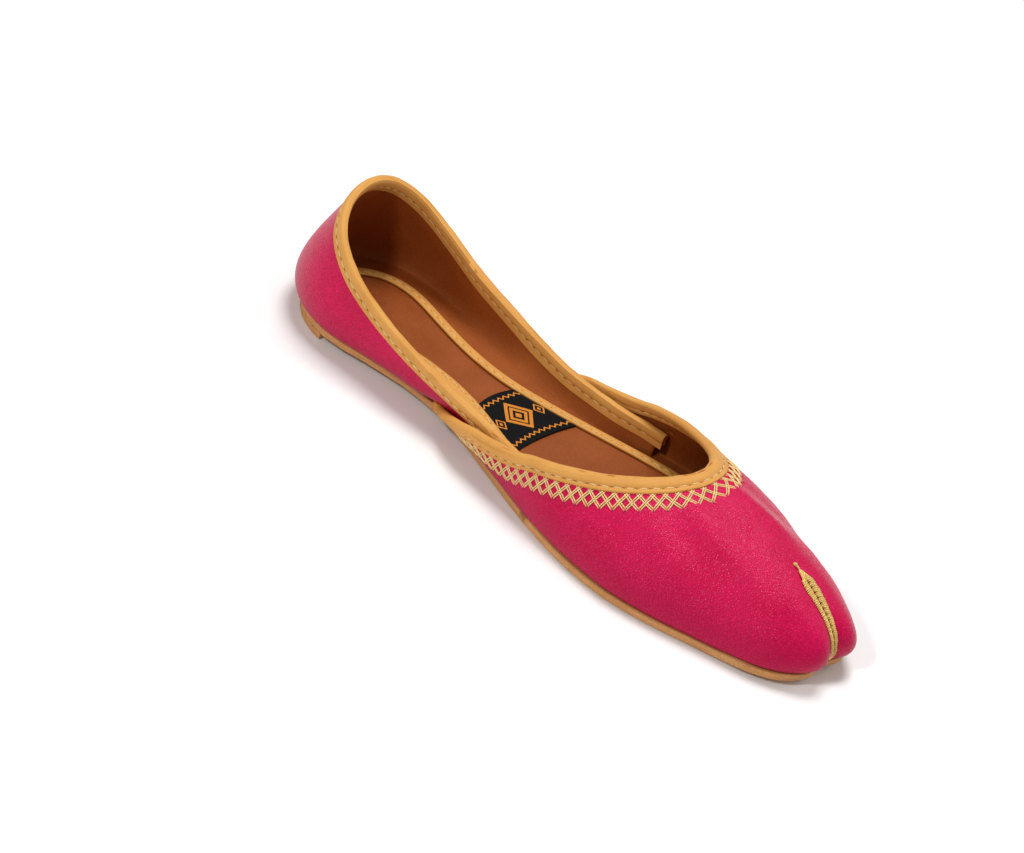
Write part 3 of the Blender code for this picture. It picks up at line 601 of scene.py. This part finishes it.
def curve_through(rows):
    """A dense smooth curve through the rows, and on to their mirror image."""
    half = np.array(rows, float)
    full = np.vstack((half * (1, -1, 1), half[-2::-1]))
    chord = walked_to(full)
    slope = np.gradient(full, chord, axis=0)
    at = np.linspace(0.0, chord[-1], CURVE_POINTS)
    cell = np.clip(np.searchsorted(chord, at) - 1, 0, len(chord) - 2)
    width = (chord[cell + 1] - chord[cell])[:, None]
    part = (at - chord[cell])[:, None] / width
    return ((1 + 2 * part) * (1 - part) ** 2 * full[cell]
            + part * (1 - part) ** 2 * width * slope[cell]
            + part ** 2 * (3 - 2 * part) * full[cell + 1]
            + part ** 2 * (part - 1) * width * slope[cell + 1])


def spaced(curve, step):
    """Places at an even distance along a curve, and its directions there."""
    walked = walked_to(curve)
    at = np.linspace(0.0, walked[-1], int(round(walked[-1] / step)) + 1)
    slopes = np.gradient(curve, walked, axis=0)
    points, ways = (np.column_stack([np.interp(at, walked, column) for column in table.T])
                    for table in (curve, slopes))
    return points, ways / np.linalg.norm(ways, axis=1, keepdims=True), at


def to_frame(point):
    """Metres in the frame from millimetres on the shoe."""
    return Vector(((point[0] - ORIGIN_X) * MM, point[1] * MM, point[2] * MM))


def smoothed(values, passes):
    """Even out a table along its first axis."""
    for _ in range(passes):
        values[1:-1] = 0.25 * values[:-2] + 0.5 * values[1:-1] + 0.25 * values[2:]
    return values


def unit(values):
    """Rows of a table scaled to length 1."""
    return values / np.linalg.norm(values, axis=-1, keepdims=True)


class Wall:
    """Both skins of a wall, charted by the way along its rim and the way below it."""

    def __init__(self, edge, eye, deep_out, deep_in, narrowing=((0.0, 1.0),), free_from=0.0):
        points, self.ways, self.at = spaced(curve_through(edge), RING_STEP)
        self.length = self.at[-1]
        self.share = np.interp(points[:, 0], *np.array(narrowing).T)
        self.rims, downs, sides = self.find_rim(points, eye)
        self.skins = []
        for tree, sign, deep in ((outer_tree, 1.0, deep_out), (inner_tree, -1.0, deep_in)):
            rows = []
            for rim, way, down, side in zip(self.rims, self.ways, downs, sides):
                start = Vector(rim) + (down * RIM_SKIP + side * sign * (HALF_WALL + START_OFF)) * MM
                count = int(deep / WALK_STEP) + 1
                if sign < 0.0 and rim[0] / MM + ORIGIN_X < free_from:
                    # here the wall lies on the one inside it, so its own thickness is taken off
                    spots, normals = self.skins[0]
                    rows.append([
                        (Vector(spot - normal * 2.0 * HALF_WALL * MM), Vector(-normal))
                        for spot, normal in zip(spots[len(rows), :count + 1],
                                                normals[len(rows), :count + 1])])
                else:
                    rows.append(self.walk(tree, start, Vector(way), eye, count))
            spots = smoothed(np.array([[spot for spot, _ in row] for row in rows]), SPOT_PASSES)
            normals = np.array([[normal for _, normal in row] for row in rows])
            normals = unit(smoothed(normals, NORMAL_PASSES))
            self.skins.append((spots, normals))

    def find_rim(self, points, eye):
        """The middle of the cut edge at each ring, and the ways down and out from it."""
        across = []
        for point in points:
            near = np.linalg.norm(face_centres - point, axis=1) < RIM_REACH
            out, inward = (unit(face_pulls[near & (face_skins == skin)].sum(axis=0))
                           for skin in (0, 1))
            across.append(out - inward)
        rims, downs, sides = [], [], []
        for point, way, side in zip(points, self.ways, smoothed(np.array(across), SIDE_PASSES)):
            rim, way, side = to_frame(point), Vector(way), Vector(side)
            side = (side - way * side.dot(way)).normalized()
            down = way.cross(side)
            if down.dot(rim - eye) < 0.0:
                down.negate()
            low = rim + down * RIM_DROP * MM
            middle = (outer_tree.find_nearest(low + side * RIM_SIDE * MM)[0]
                      + inner_tree.find_nearest(low - side * RIM_SIDE * MM)[0]) * 0.5
            hit = upper_tree.ray_cast(middle - down * RAY_BACK * MM, down, RAY_RUN * MM)[0]
            rims.append(rim if hit is None else hit)
            downs.append(down)
            sides.append(side)
        return smoothed(np.array(rims), SPOT_PASSES), downs, sides

    @staticmethod
    def walk(tree, start, way, eye, count):
        """Places at even steps down one skin, from just below the rim."""
        spot, normal, _, _ = tree.find_nearest(start)
        row = [(spot, normal)]
        for _ in range(count):
            down = way.cross(normal).normalized()
            if down.dot(spot - eye) < 0.0:
                down.negate()
            spot, normal, _, _ = tree.find_nearest(spot + down * WALK_STEP * MM)
            row.append((spot, normal))
        return row

    def place(self, inside, ring, below, height):
        """A place over one skin, at a ring that may lie between two."""
        spots, normals = self.skins[inside]
        # both are held just inside the last cell of the chart
        ring = min(max(ring, 0.0), len(spots) - 1.001)
        below = min((below - RIM_SKIP) / WALK_STEP, spots.shape[1] - 1.001)
        i, j = int(ring), max(int(below), 0)
        u, v = ring - i, below - j
        weights = ((i, j, (1 - u) * (1 - v)), (i + 1, j, u * (1 - v)),
                   (i, j + 1, (1 - u) * v), (i + 1, j + 1, u * v))
        spot = sum(spots[a, b] * share for a, b, share in weights)
        normal = unit(sum(normals[a, b] * share for a, b, share in weights))
        return spot + normal * height * MM, normal

    def ring_at(self, along):
        """The ring at a distance along the rim."""
        return along / self.length * (len(self.at) - 1)

    def reach(self, inside, floor):
        """How far below the rim each ring stays over a height, in millimetres."""
        high = self.skins[inside][0][:, :, 2] > floor * MM
        steps = np.where(np.all(high, axis=1), high.shape[1], np.argmin(high, axis=1))
        return smoothed(RIM_SKIP + steps * WALK_STEP, REACH_PASSES)


def tube(sides, rings):
    """A closed tube along Z from 0 to 1 with a radius of 1."""
    work = bmesh.new()
    bmesh.ops.create_cone(work, cap_ends=True, cap_tris=False, segments=sides,
                          radius1=1.0, radius2=1.0, depth=1.0)
    bmesh.ops.translate(work, verts=work.verts, vec=(0.0, 0.0, 0.5))
    rails = [edge for edge in work.edges if abs(edge.verts[0].co.z - edge.verts[1].co.z) > 0.5]
    bmesh.ops.subdivide_edges(work, edges=rails, cuts=rings - 2)
    return work


def clear_of_wall(spot, least):
    """A place lifted off the wall where it would sink into it."""
    hit, normal, _, _ = upper_tree.find_nearest(Vector(spot))
    sunk = (Vector(spot) - hit).dot(normal) < least * MM
    return np.array(hit + normal * least * MM) if sunk else spot


def groove_row(flank):
    """The row of a flank that its stitches pull down."""
    return min(range(2, len(flank) - 2), key=lambda k: flank[k][1])


def folded_strip(name, wall, outside, inside, crest, overhang, floors):
    """A strip folded over the rim of a wall, as one closed tube."""
    from_end = np.minimum(wall.at, wall.length - wall.at)
    tip = (from_end < TIP_RUN) & (overhang == 0.0)
    thin = np.ones(len(tip))
    if not overhang:
        thin = TIP_THIN + (1.0 - TIP_THIN) * ease(from_end / TIP_RUN)
    scale_out = np.clip(wall.reach(0, floors[0]) / outside[0][0], LEAST_SCALE, wall.share)
    scale_in = np.clip(wall.reach(1, floors[1]) / inside[-1][0], LEAST_SCALE, 1.0)
    groove_out, groove_in = groove_row(outside), groove_row(inside)
    sections = []
    for ring, along in enumerate(wall.at):
        pucker = 0.5 + 0.5 * math.cos(2.0 * math.pi * along / PUCKER_PITCH)
        sway = 1.0
        for size, pace, start in SWAYS:
            sway += size * math.sin(along * pace + start)
        section = []
        for k, (below, height) in enumerate(outside):
            pull = {0: GROOVE_PUCKER, 1: SIDE_PUCKER}.get(abs(k - groove_out), 0.0)
            lift = height * sway * thin[ring] - pucker * pull
            spot = wall.place(0, ring, below * scale_out[ring], lift)[0]
            free = k > 1 or (k == 1 and tip[ring])
            section.append(clear_of_wall(spot, FLANK_CLEAR) if free else spot)
        top_out, top_in = wall.place(0, ring, 0.0, 0.0)[0], wall.place(1, ring, 0.0, 0.0)[0]
        across = top_out - top_in
        half = np.linalg.norm(across) * 0.5
        across = across / (2.0 * half)
        up = unit(np.cross(across, wall.ways[ring]))
        up = up if up[2] > 0.0 else -up
        middle = (top_out + top_in) * 0.5 - up * CREST_SINK * MM
        for k in range(1, CREST_POINTS + 1):
            angle = math.pi * k / (CREST_POINTS + 1)
            bulge = outside[-1][1] if angle < 0.5 * math.pi else inside[0][1]
            spot = (middle + across * math.cos(angle) * (half + bulge * sway * thin[ring] * MM)
                    + up * math.sin(angle) * (crest * sway * thin[ring] + CREST_SINK) * MM)
            if tip[ring] or angle < CLEAR_ANGLE:
                spot = clear_of_wall(spot, TIP_CLEAR if tip[ring] else CREST_CLEAR)
            section.append(spot)
        for k, (below, height) in enumerate(inside):
            lift = height * sway - (pucker * INNER_PUCKER if k == groove_in else 0.0)
            section.append(wall.place(1, ring, below * scale_in[ring], lift)[0])
        # and back through the wall, where nothing shows
        for skin, deep in ((1, inside[-1][0] * scale_in[ring]),
                           (0, outside[0][0] * scale_out[ring])):
            section.append(wall.place(skin, ring, deep * HIDDEN_SHARE, -HIDDEN_SINK)[0])
        sections.append(section)
    sections = list(smoothed(np.array(sections), SECTION_PASSES))
    for ring in np.flatnonzero(tip):
        for k in range(1, len(outside) + CREST_POINTS):
            sections[ring][k] = clear_of_wall(sections[ring][k], TIP_CLEAR)
    # the ends: cut square past the wall, or drawn in to a tip
    cut = CUT_RINGS if overhang else 0
    tails = []
    for end, step in ((cut, -1.0), (-1 - cut, 1.0)):
        way, last = wall.ways[end] * step * MM, sections[end]
        if overhang:
            count = CUT_RINGS + int(overhang / RING_STEP)
            tails.append([last + way * RING_STEP * k for k in range(1, count + 1)])
        else:
            heart = last.mean(axis=0)
            tails.append([heart + (last - heart) * size + way * along
                          for along, size in STRIP_TAIL])
    sections = tails[0][::-1] + sections[cut:len(sections) - cut] + tails[1]
    sides, rings = len(sections[0]), len(sections)
    work = tube(sides, rings)
    for vert in work.verts:
        ring = int(round(vert.co.z * (rings - 1)))
        turn = math.atan2(vert.co.y, vert.co.x) / (2.0 * math.pi)
        vert.co = sections[ring][int(round(turn * sides)) % sides]
    bmesh.ops.triangulate(work, faces=[face for face in work.faces if len(face.verts) > 4])
    bmesh.ops.recalc_face_normals(work, faces=work.faces)
    piece = shown(name, mesh_of(name, work), [tan.finish])
    piece.data.set_sharp_from_angle(angle=STRIP_SHARP)
    return piece, tree_of(piece.data)


throat = Wall(THROAT_EDGE, THROAT_EYE, deep_out=15.0, deep_in=5.0, narrowing=VAMP_NARROWING,
              free_from=99.0)
collar = Wall(QUARTER_EDGE, QUARTER_EYE, deep_out=5.0, deep_in=5.5)
vamp_strip, vamp_strip_tree = folded_strip(
    "vamp_edge_binding", throat, VAMP_OUTSIDE, VAMP_INSIDE, crest=1.00, overhang=0.0,
    floors=(6.0, 8.2))
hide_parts("vamp_binding")
quarter_strip, quarter_strip_tree = folded_strip(
    "quarter_edge_binding", collar, QUARTER_OUTSIDE, QUARTER_INSIDE, crest=1.10, overhang=2.2,
    floors=(3.0, 3.0))
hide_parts("quarter_binding")

# ---- Seams ----
# Rows of machine stitches in beige thread, with needle holes between them shown as dark lenses of
# painted shade, along both flanks of each binding and along the insole strip.
OUTLINE = (
    (4.5, 0), (9.5, 13), (20, 22.2), (34, 25.6), (50, 22.6), (68, 19.4), (86, 19.6),
    (104, 23.8), (122, 29.2), (142, 35), (160, 38.4), (178, 39), (196, 35.4),
    (212, 29.8), (224, 26), (234, 22.4), (240.8, 17.6), (245.2, 9.8), (246.4, 0),
)
STRIP_SEAM_INSET = 9.8
SPINE_BACK = 28.0
SPINE_FRONT = 222.0
TOE_DRAW = 4.0
TOE_FROM = 200.0
TOE_RUN = 35.0
LEVEL_FACE = 0.7
# each seam: thread radius, share of the pitch that shows, and the hole's size
BINDING_SEAM = (0.00026, 0.64, (0.00048, 0.00020))
STRIP_SEAM = (0.00021, 0.66, (0.00030, 0.00017))
HOLE_DEPTH = 0.00014
DRAWN_IN = 0.45
END_SINK = 0.8
BACK_RISE = 0.55
BACK_SHARE = 0.55
SLANT = (0.00004, 0.00014)
SEAM_HOVER = 0.003
SEAM_REACH = 0.004
ABOVE_STRIP = 30.0


def thread_pattern(sides, rings):
    """A short thread along Z with drawn-in ends."""
    work = tube(sides, rings)
    for vert in work.verts:
        if not 1e-4 <= vert.co.z <= 1.0 - 1e-4:
            vert.co.x *= DRAWN_IN
            vert.co.y *= DRAWN_IN
    return work


SHORT_THREAD = thread_pattern(6, 5)
LONG_THREAD = thread_pattern(6, 8)
HOLE = bmesh.new()
bmesh.ops.create_uvsphere(HOLE, u_segments=8, v_segments=4, radius=1.0)
scratch_mesh = bpy.data.meshes.new("scratch")


def lay_thread(work, pattern, path, normals, radius):
    """Bend a thread along a path on the leather and add it to a piece."""
    strand = pattern.copy()
    last = len(path) - 1
    for vert in strand.verts:
        at = min(max(vert.co.z, 0.0), 1.0) * last
        cell = min(int(at), last - 1)
        part = at - cell
        spot = path[cell].lerp(path[cell + 1], part)
        normal = normals[cell].lerp(normals[cell + 1], part).normalized()
        way = (path[cell + 1] - path[cell]).normalized()
        side = way.cross(normal).normalized()
        vert.co = spot + side * (vert.co.x * radius) + normal * (vert.co.y * radius)
    strand.to_mesh(scratch_mesh)
    strand.free()
    work.from_mesh(scratch_mesh)


def finish_work(name, work, finish):
    """Turn gathered threads into one shown piece."""
    bmesh.ops.recalc_face_normals(work, faces=work.faces)
    return shown(name, mesh_of(name, work), [finish])


def make_twist():
    """The lie of the strands in a thread, as a fine slanting stripe."""
    tree, given, result = new_group("thread_twist", (("Place", None), ("Turns", 900.0)),
                                    ("Height", "Sheen"))
    wave = node(tree, "TexWave", {
        "Vector": given["Place"], "Scale": given["Turns"], "Distortion": 1.5, "Detail": 1.0},
        bands_direction="DIAGONAL")
    tree.links.new(wave.outputs["Fac"], result["Height"])
    tree.links.new(noise(tree, given["Place"], 1400.0), result["Sheen"])
    return tree


TWIST = make_twist()


def thread(name, colour, deep, rough, metal, turns=900.0):
    """A thread with its twist and uneven sheen."""
    finish, tree, shader = new_material(name)
    twist = node(tree, "Group", {"Place": own_place(tree), "Turns": turns},
                 node_tree=TWIST).outputs
    dark = maths(tree, "MULTIPLY", spread(tree, twist["Height"], 0.15, 0.6, 1.0, 0.0), 0.6)
    fill(tree, shader, {
        "Base Color": tint(tree, dark, colour, deep), "Metallic": metal,
        "Roughness": spread(tree, twist["Sheen"], 0.3, 0.7, rough - 0.1, rough + 0.12)})
    add_relief(tree, shader, twist["Height"], 0.00008)
    return finish


def hole_paint(name, dark, light):
    """Painted shade for the insides of needle holes."""
    finish, tree, shader = new_material(name)
    shade = tint(tree, noise(tree, own_place(tree), 900.0), dark, light)
    fill(tree, shader, {"Base Color": shade, "Roughness": 0.9})
    return finish


beige_thread = thread("beige_thread", (0.82, 0.60, 0.30), (0.60, 0.37, 0.13), 0.5, 0.0)
dark_hole = hole_paint("needle_hole", (0.05, 0.014, 0.004), (0.12, 0.040, 0.011))
soft_hole = hole_paint("strip_needle_hole", (0.22, 0.085, 0.020), (0.32, 0.14, 0.035))
rng = random.Random(4)


def add_hole(work, spot, normal, way, length, width):
    """Sink one needle hole into the leather."""
    pit = HOLE.copy()
    side = way.cross(normal).normalized()
    way = normal.cross(side).normalized()
    for vert in pit.verts:
        x, y, z = vert.co
        vert.co = spot + way * (x * length) + side * (y * width) + normal * (z * HOLE_DEPTH)
    pit.to_mesh(scratch_mesh)
    pit.free()
    work.from_mesh(scratch_mesh)


def sew(threads, holes, spots, normals, radius, share, hole):
    """Stitches from spot to spot, and a needle hole at each."""
    for k in range(len(spots) - 1):
        gap = spots[k + 1] - spots[k]
        mid = (spots[k] + spots[k + 1]) * 0.5
        mid_normal = (normals[k] + normals[k + 1]).normalized()
        way = gap.normalized()
        slant = way.cross(mid_normal).normalized() * rng.uniform(*SLANT)
        half = gap.length * share * 0.5
        sink, rise = mid_normal * radius * END_SINK, mid_normal * radius * BACK_RISE
        path = [mid - way * half - slant - sink,
                mid - way * half * BACK_SHARE - slant * 0.5 + rise,
                mid + way * half * BACK_SHARE + slant * 0.5 + rise,
                mid + way * half + slant - sink]
        lay_thread(threads, SHORT_THREAD, path, [mid_normal] * 4, radius)
        add_hole(holes, spots[k], normals[k], way, *hole)


def seam_on(wall, over, inside, below, trim):
    """Sew a row at a set distance below the rim of a wall."""
    count = int((wall.length - 2.0 * trim) / PUCKER_PITCH)
    first = math.ceil(trim / PUCKER_PITCH)
    spots, normals = [], []
    for k in range(first, first + count):
        ring = wall.ring_at(k * PUCKER_PITCH)
        share = 1.0 if inside else wall.share[int(ring)]
        spot, normal = (Vector(part) for part in wall.place(inside, ring, below * share, 0.0))
        hit, face_normal, _, _ = over.ray_cast(spot + normal * SEAM_HOVER, -normal, SEAM_REACH)
        spots.append(spot if hit is None else hit)
        normals.append(normal if hit is None else face_normal)
    sew(seam_threads, seam_holes, spots, normals, *BINDING_SEAM)


seam_threads, seam_holes = bmesh.new(), bmesh.new()
seam_on(throat, vamp_strip_tree, inside=0, below=4.35, trim=12.0)
seam_on(throat, vamp_strip_tree, inside=1, below=2.75, trim=40.0)
seam_on(collar, quarter_strip_tree, inside=0, below=2.90, trim=1.0)
seam_on(collar, quarter_strip_tree, inside=1, below=2.65, trim=1.0)
finish_work("binding_needle_holes", seam_holes, dark_hole)

outline = curve_through([(x, y, 0.0) for x, y in OUTLINE])
spine = outline * (1.0, 0.0, 0.0)
spine[:, 0] = np.clip(spine[:, 0], SPINE_BACK, SPINE_FRONT)
strip_line = outline + unit(spine - outline) * STRIP_SEAM_INSET
strip_line[:, 0] -= TOE_DRAW * ease((outline[:, 0] - TOE_FROM) / TOE_RUN)
strip_holes = bmesh.new()
DOWN = Vector((0.0, 0.0, -1.0))
seam_spots, seam_normals = [], []
for point in spaced(strip_line, PUCKER_PITCH)[0]:
    hit, hit_normal, _, _ = strip_tree.ray_cast(to_frame((*point[:2], ABOVE_STRIP)), DOWN)
    if hit is not None and hit_normal.z > LEVEL_FACE:
        seam_spots.append(hit)
        seam_normals.append(hit_normal)
sew(seam_threads, strip_holes, seam_spots, seam_normals, *STRIP_SEAM)
finish_work("binding_stitches", seam_threads, beige_thread)
finish_work("strip_needle_holes", strip_holes, soft_hole)

# ---- Throat embroidery ----
# A lattice of doubled gilt thread worked into the vamp just below the binding:
# each pair runs from under the binding to a needle hole and back.
BAND_TOP = 6.1
BAND_RUN = 1.2
BAND_POINTS = 6
UNDER, OVER = 0.7, 1.7
FOOT_LEVEL, TOP_LEVEL = -0.2, 0.3
HOLE_DROP = 0.5
HOLE_AHEAD = 0.5
BAND_HOLE = (0.00034, 0.00030)
GILT_RADIUS = 0.00023
PAIR_HALF = 0.00036
PAIR_WOBBLE = 0.00004
# each row: how far along the rim, the pitch there and the depth below the rim
BAND = (
    (17.0, 4.3, 8.2), (30.0, 4.2, 8.9), (60.0, 4.05, 9.9), (90.0, 3.8, 11.2), (116.0, 3.7, 12.3),
)
gilt = thread("gilt_thread", (1.0, 0.78, 0.34), (0.68, 0.40, 0.11), 0.30, 0.1, turns=1500.0)


def band_place(along, below):
    """A place on the vamp: along the rim and below it."""
    spot, normal = throat.place(0, throat.ring_at(along), below, 0.0)
    return Vector(spot), Vector(normal)


band_threads, band_holes = bmesh.new(), bmesh.new()
band_at, band_pitch, band_depth = np.array(BAND).T
feet = [throat.length * 0.5]
while feet[-1] > band_at[0]:
    feet.append(feet[-1] - float(np.interp(feet[-1], band_at, band_pitch)))
feet = sorted({*feet, *(throat.length - foot for foot in feet)})
for foot_at in feet:
    from_end = min(foot_at, throat.length - foot_at)
    pitch = float(np.interp(from_end, band_at, band_pitch))
    depth = float(np.interp(from_end, band_at, band_depth))
    for turn, level in ((-1, UNDER), (1, OVER)):
        top_at = foot_at + turn * BAND_RUN * pitch
        if not feet[0] - pitch < top_at < feet[-1] + pitch:
            continue
        top = BAND_TOP * throat.share[int(throat.ring_at(top_at))]
        path, normals = zip(*(band_place(foot_at + (top_at - foot_at) * part,
                                         depth + (top - depth) * part)
                              for part in np.linspace(0.0, 1.0, BAND_POINTS)))
        levels = [FOOT_LEVEL] + [level] * (BAND_POINTS - 2) + [TOP_LEVEL]
        for pair in (-1, 1):
            line = []
            for j, (spot, normal) in enumerate(zip(path, normals)):
                way = (path[min(j + 1, BAND_POINTS - 1)] - path[max(j - 1, 0)]).normalized()
                side = way.cross(normal).normalized()
                wobble = rng.uniform(-PAIR_WOBBLE, PAIR_WOBBLE)
                line.append(spot + side * (PAIR_HALF * pair + wobble)
                            + normal * (GILT_RADIUS * levels[j]))
            lay_thread(band_threads, LONG_THREAD, line, normals, GILT_RADIUS)
    spot, normal = band_place(foot_at, depth + HOLE_DROP)
    way = (band_place(foot_at + HOLE_AHEAD, depth + HOLE_DROP)[0] - spot).normalized()
    add_hole(band_holes, spot, normal, way, *BAND_HOLE)
finish_work("throat_embroidery", band_threads, gilt)
finish_work("embroidery_needle_holes", band_holes, dark_hole)

# ---- Toe braid ----
# Two columns of gilt satin stitch meet over the toe seam and run down into the
# cleft; a small chain stitch finishes the upper end.
BRAID_BACK = 220.5
ABOVE_TOE = 60.0
BRAID_STEP = 0.0006
BRAID_STEPS = 80
BRAID_FLOOR = 0.0066
BRAID_START = 6.2
BRAID_GROUP = 1.95
BRAID_STRANDS = 3
BRAID_RADIUS = 0.00036
BRAID_RISE = 0.00080
THREAD_POINTS = 5
STRAND_PITCH = 0.50
STRAND_FAN = 0.15
FAN_PACE = 2.2
STRAND_DROOP = 0.5
STRAND_INNER = (0.30, 0.10)
ALONG_WOBBLE = 0.04
REACH_WOBBLE = 0.12
ARCH_START, ARCH_SPAN = 0.10, 0.82
LEAF_RADIUS = 0.00042
CHAIN_RADIUS = 0.00034
POINT_LIFT = 0.00035
POINT_ARCH = 0.0003
POINT_DRAW = 0.75
TIP_RADIUS = 0.00062
TIP_BACK, TIP_FRONT = 0.9, 1.9
TIP_TAIL = 0.7
TIP_LIFTS = (0.0002, 0.0005, 0.0004)
# half the width of the braid at each distance down it
BRAID_REACH = ((0, 1.7), (2, 2.9), (5, 3), (12, 2.6), (40, 2.3))
# each thread of the point: its side, where it starts and ends, its reach and its radius
LEAVES = ((7.2, 3.2, 1.1), (7.8, 4.4, 1.9), (8.6, 5.6, 2.6))
POINT = (*((side, *leaf, LEAF_RADIUS) for leaf in LEAVES for side in (-1, 1)),
         (0, 7.4, 2.8, 0.0, LEAF_RADIUS), (0, 3.4, 1.0, 0.0, CHAIN_RADIUS))
braid_gilt = thread("braid_gilt_thread", (0.93, 0.65, 0.20), (0.52, 0.29, 0.06), 0.28, 0.15,
                    turns=1500.0)


def toe_line():
    """Marched places down the toe seam, from the chain stitch to the sole."""
    spot, normal, _, _ = outer_tree.ray_cast(to_frame((BRAID_BACK, 0.0, ABOVE_TOE)), DOWN)
    places = []
    for _ in range(BRAID_STEPS):
        places.append((spot, normal))
        ahead = Vector((0.0, 1.0, 0.0)).cross(normal).normalized()
        if ahead.x < 0.0 and ahead.z > 0.0:
            ahead.negate()
        target = spot + ahead * BRAID_STEP
        target.y = 0.0
        spot, normal, _, _ = outer_tree.find_nearest(target)
        spot.y = 0.0
        normal = Vector((normal.x, 0.0, normal.z)).normalized()
        if spot.z < BRAID_FLOOR:
            break
    return places


toe_places = toe_line()
toe_spots = np.array([spot for spot, _ in toe_places])
toe_normals = np.array([normal for _, normal in toe_places])
toe_walk = walked_to(toe_spots) / MM


def toe_place(along, across):
    """A place on the leather, along the toe seam and to one side of it."""
    spot, normal = (Vector([np.interp(along, toe_walk, column) for column in table.T])
                    for table in (toe_spots, toe_normals))
    normal.normalize()
    if across:
        spot, normal, _, _ = outer_tree.find_nearest(spot + Vector((0.0, across * MM, 0.0)))
    return spot, normal


braid_threads = bmesh.new()
braid_length = toe_walk[-1] - BRAID_START
group_count = int(braid_length / BRAID_GROUP)
for group in range(group_count):
    centre = BRAID_START + (group + 0.5) * braid_length / group_count
    wide = float(np.interp(centre - BRAID_START, *np.array(BRAID_REACH).T))
    for side in (-1, 1):
        for strand in range(BRAID_STRANDS):
            offset = strand - 0.5 * (BRAID_STRANDS - 1)
            inner = STRAND_INNER[strand % 2]
            line, normals = [], []
            for part in np.linspace(0.0, 1.0, THREAD_POINTS):
                along = (centre + offset * (STRAND_PITCH + STRAND_FAN * ease(part * FAN_PACE))
                         + STRAND_DROOP * part + rng.uniform(-ALONG_WOBBLE, ALONG_WOBBLE))
                across = inner + (wide + rng.uniform(-REACH_WOBBLE, REACH_WOBBLE) - inner) * part
                spot, normal = toe_place(along, side * across)
                rise = BRAID_RISE * math.sin(math.pi * (ARCH_START + ARCH_SPAN * part))
                line.append(spot + normal * rise)
                normals.append(normal)
            lay_thread(braid_threads, LONG_THREAD, line, normals, BRAID_RADIUS)
for side, start, end, reach, radius in POINT:
    line, normals = [], []
    for part in np.linspace(0.0, 1.0, THREAD_POINTS):
        spot, normal = toe_place(start + (end - start) * part,
                                 side * reach * (1.0 - POINT_DRAW * part))
        line.append(spot + normal * (POINT_LIFT + POINT_ARCH * math.sin(math.pi * part)))
        normals.append(normal)
    lay_thread(braid_threads, LONG_THREAD, line, normals, radius)
spot, normal = toe_place(TIP_BACK, 0.0)
ahead, _ = toe_place(TIP_FRONT, 0.0)
tip_line = [place + normal * lift for place, lift in
            zip((spot - (ahead - spot) * TIP_TAIL, spot, ahead), TIP_LIFTS)]
lay_thread(braid_threads, SHORT_THREAD, tip_line, [normal] * 3, TIP_RADIUS)
braid = finish_work("toe_braid_threads", braid_threads, braid_gilt)
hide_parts("toe_braid")

# ---- Label ----
# A black woven patch sewn across the waist of the sock, with a plain lozenge
# motif between two borders.
LABEL_MIDDLE = (103.75 - ORIGIN_X) * MM - 0.0012
LABEL_BOW = 7.8
SMALL_OFF = 0.0098
ZIGZAG = 0.0013
WEAVE = 900.0
cloth, cloth_tree, cloth_shader = new_material("black_woven_label")
cloth_place = own_place(cloth_tree)
cloth_axes = node(cloth_tree, "SeparateXYZ", {0: cloth_place}).outputs


def on_cloth(operation, first, second=0.0):
    """One sum on values of the label."""
    return maths(cloth_tree, operation, first, second)


def size_of(value):
    """A value of the label without its sign."""
    return on_cloth("ABSOLUTE", value)


def band(value, centre, half):
    """1 inside a band of a value, soft at its edges."""
    return spread(cloth_tree, size_of(on_cloth("SUBTRACT", value, centre)), half, half * 0.8)


def lozenge(x, y, long, wide):
    """0 at the middle of a lozenge and 1 on its outline."""
    return on_cloth("ADD", on_cloth("DIVIDE", size_of(x), long),
                    on_cloth("DIVIDE", size_of(y), wide))


def weave(direction):
    """The ribs of one set of threads of the label."""
    return node(cloth_tree, "TexWave", {"Vector": cloth_place, "Scale": WEAVE},
                bands_direction=direction).outputs["Fac"]


label_y = cloth_axes["Y"]
bow = on_cloth("MULTIPLY", on_cloth("POWER", size_of(label_y), 2.0), LABEL_BOW)
label_x = on_cloth("SUBTRACT", on_cloth("SUBTRACT", cloth_axes["X"], LABEL_MIDDLE), bow)
big = lozenge(label_x, label_y, 0.0074, 0.0068)
small = lozenge(label_x, on_cloth("SUBTRACT", size_of(label_y), SMALL_OFF), 0.0030, 0.0024)
border = on_cloth("ADD", size_of(label_x), on_cloth("PINGPONG", label_y, ZIGZAG))
motif = band(big, 0.88, 0.145)
# each further band of the motif: its value, its middle and half its width
for value, centre, half in ((big, 0.52, 0.13), (big, 0.0, 0.24), (small, 0.85, 0.16),
                            (small, 0.0, 0.35), (border, 0.0101, 0.00042)):
    motif = on_cloth("MAXIMUM", motif, band(value, centre, half))
woven = on_cloth("ADD", weave("X"), weave("Y"))
# painted light on the tops of the woven ribs, painted shade between them
lit = spread(cloth_tree, woven, 0.3, 1.8)
black = tint(cloth_tree, lit, (0.002, 0.002, 0.002), (0.009, 0.009, 0.010))
orange = tint(cloth_tree, lit, (0.48, 0.15, 0.015), (0.82, 0.32, 0.05))
fill(cloth_tree, cloth_shader, {"Base Color": tint(cloth_tree, motif, black, orange),
                                "Roughness": 0.85, "Specular IOR Level": 0.12})
add_relief(cloth_tree, cloth_shader, on_cloth("ADD", woven, on_cloth("MULTIPLY", motif, 1.5)),
           0.00006)
dress("label_patch", cloth)

bpy.data.meshes.remove(scratch_mesh)
for pattern in (SHORT_THREAD, LONG_THREAD, HOLE):
    pattern.free()
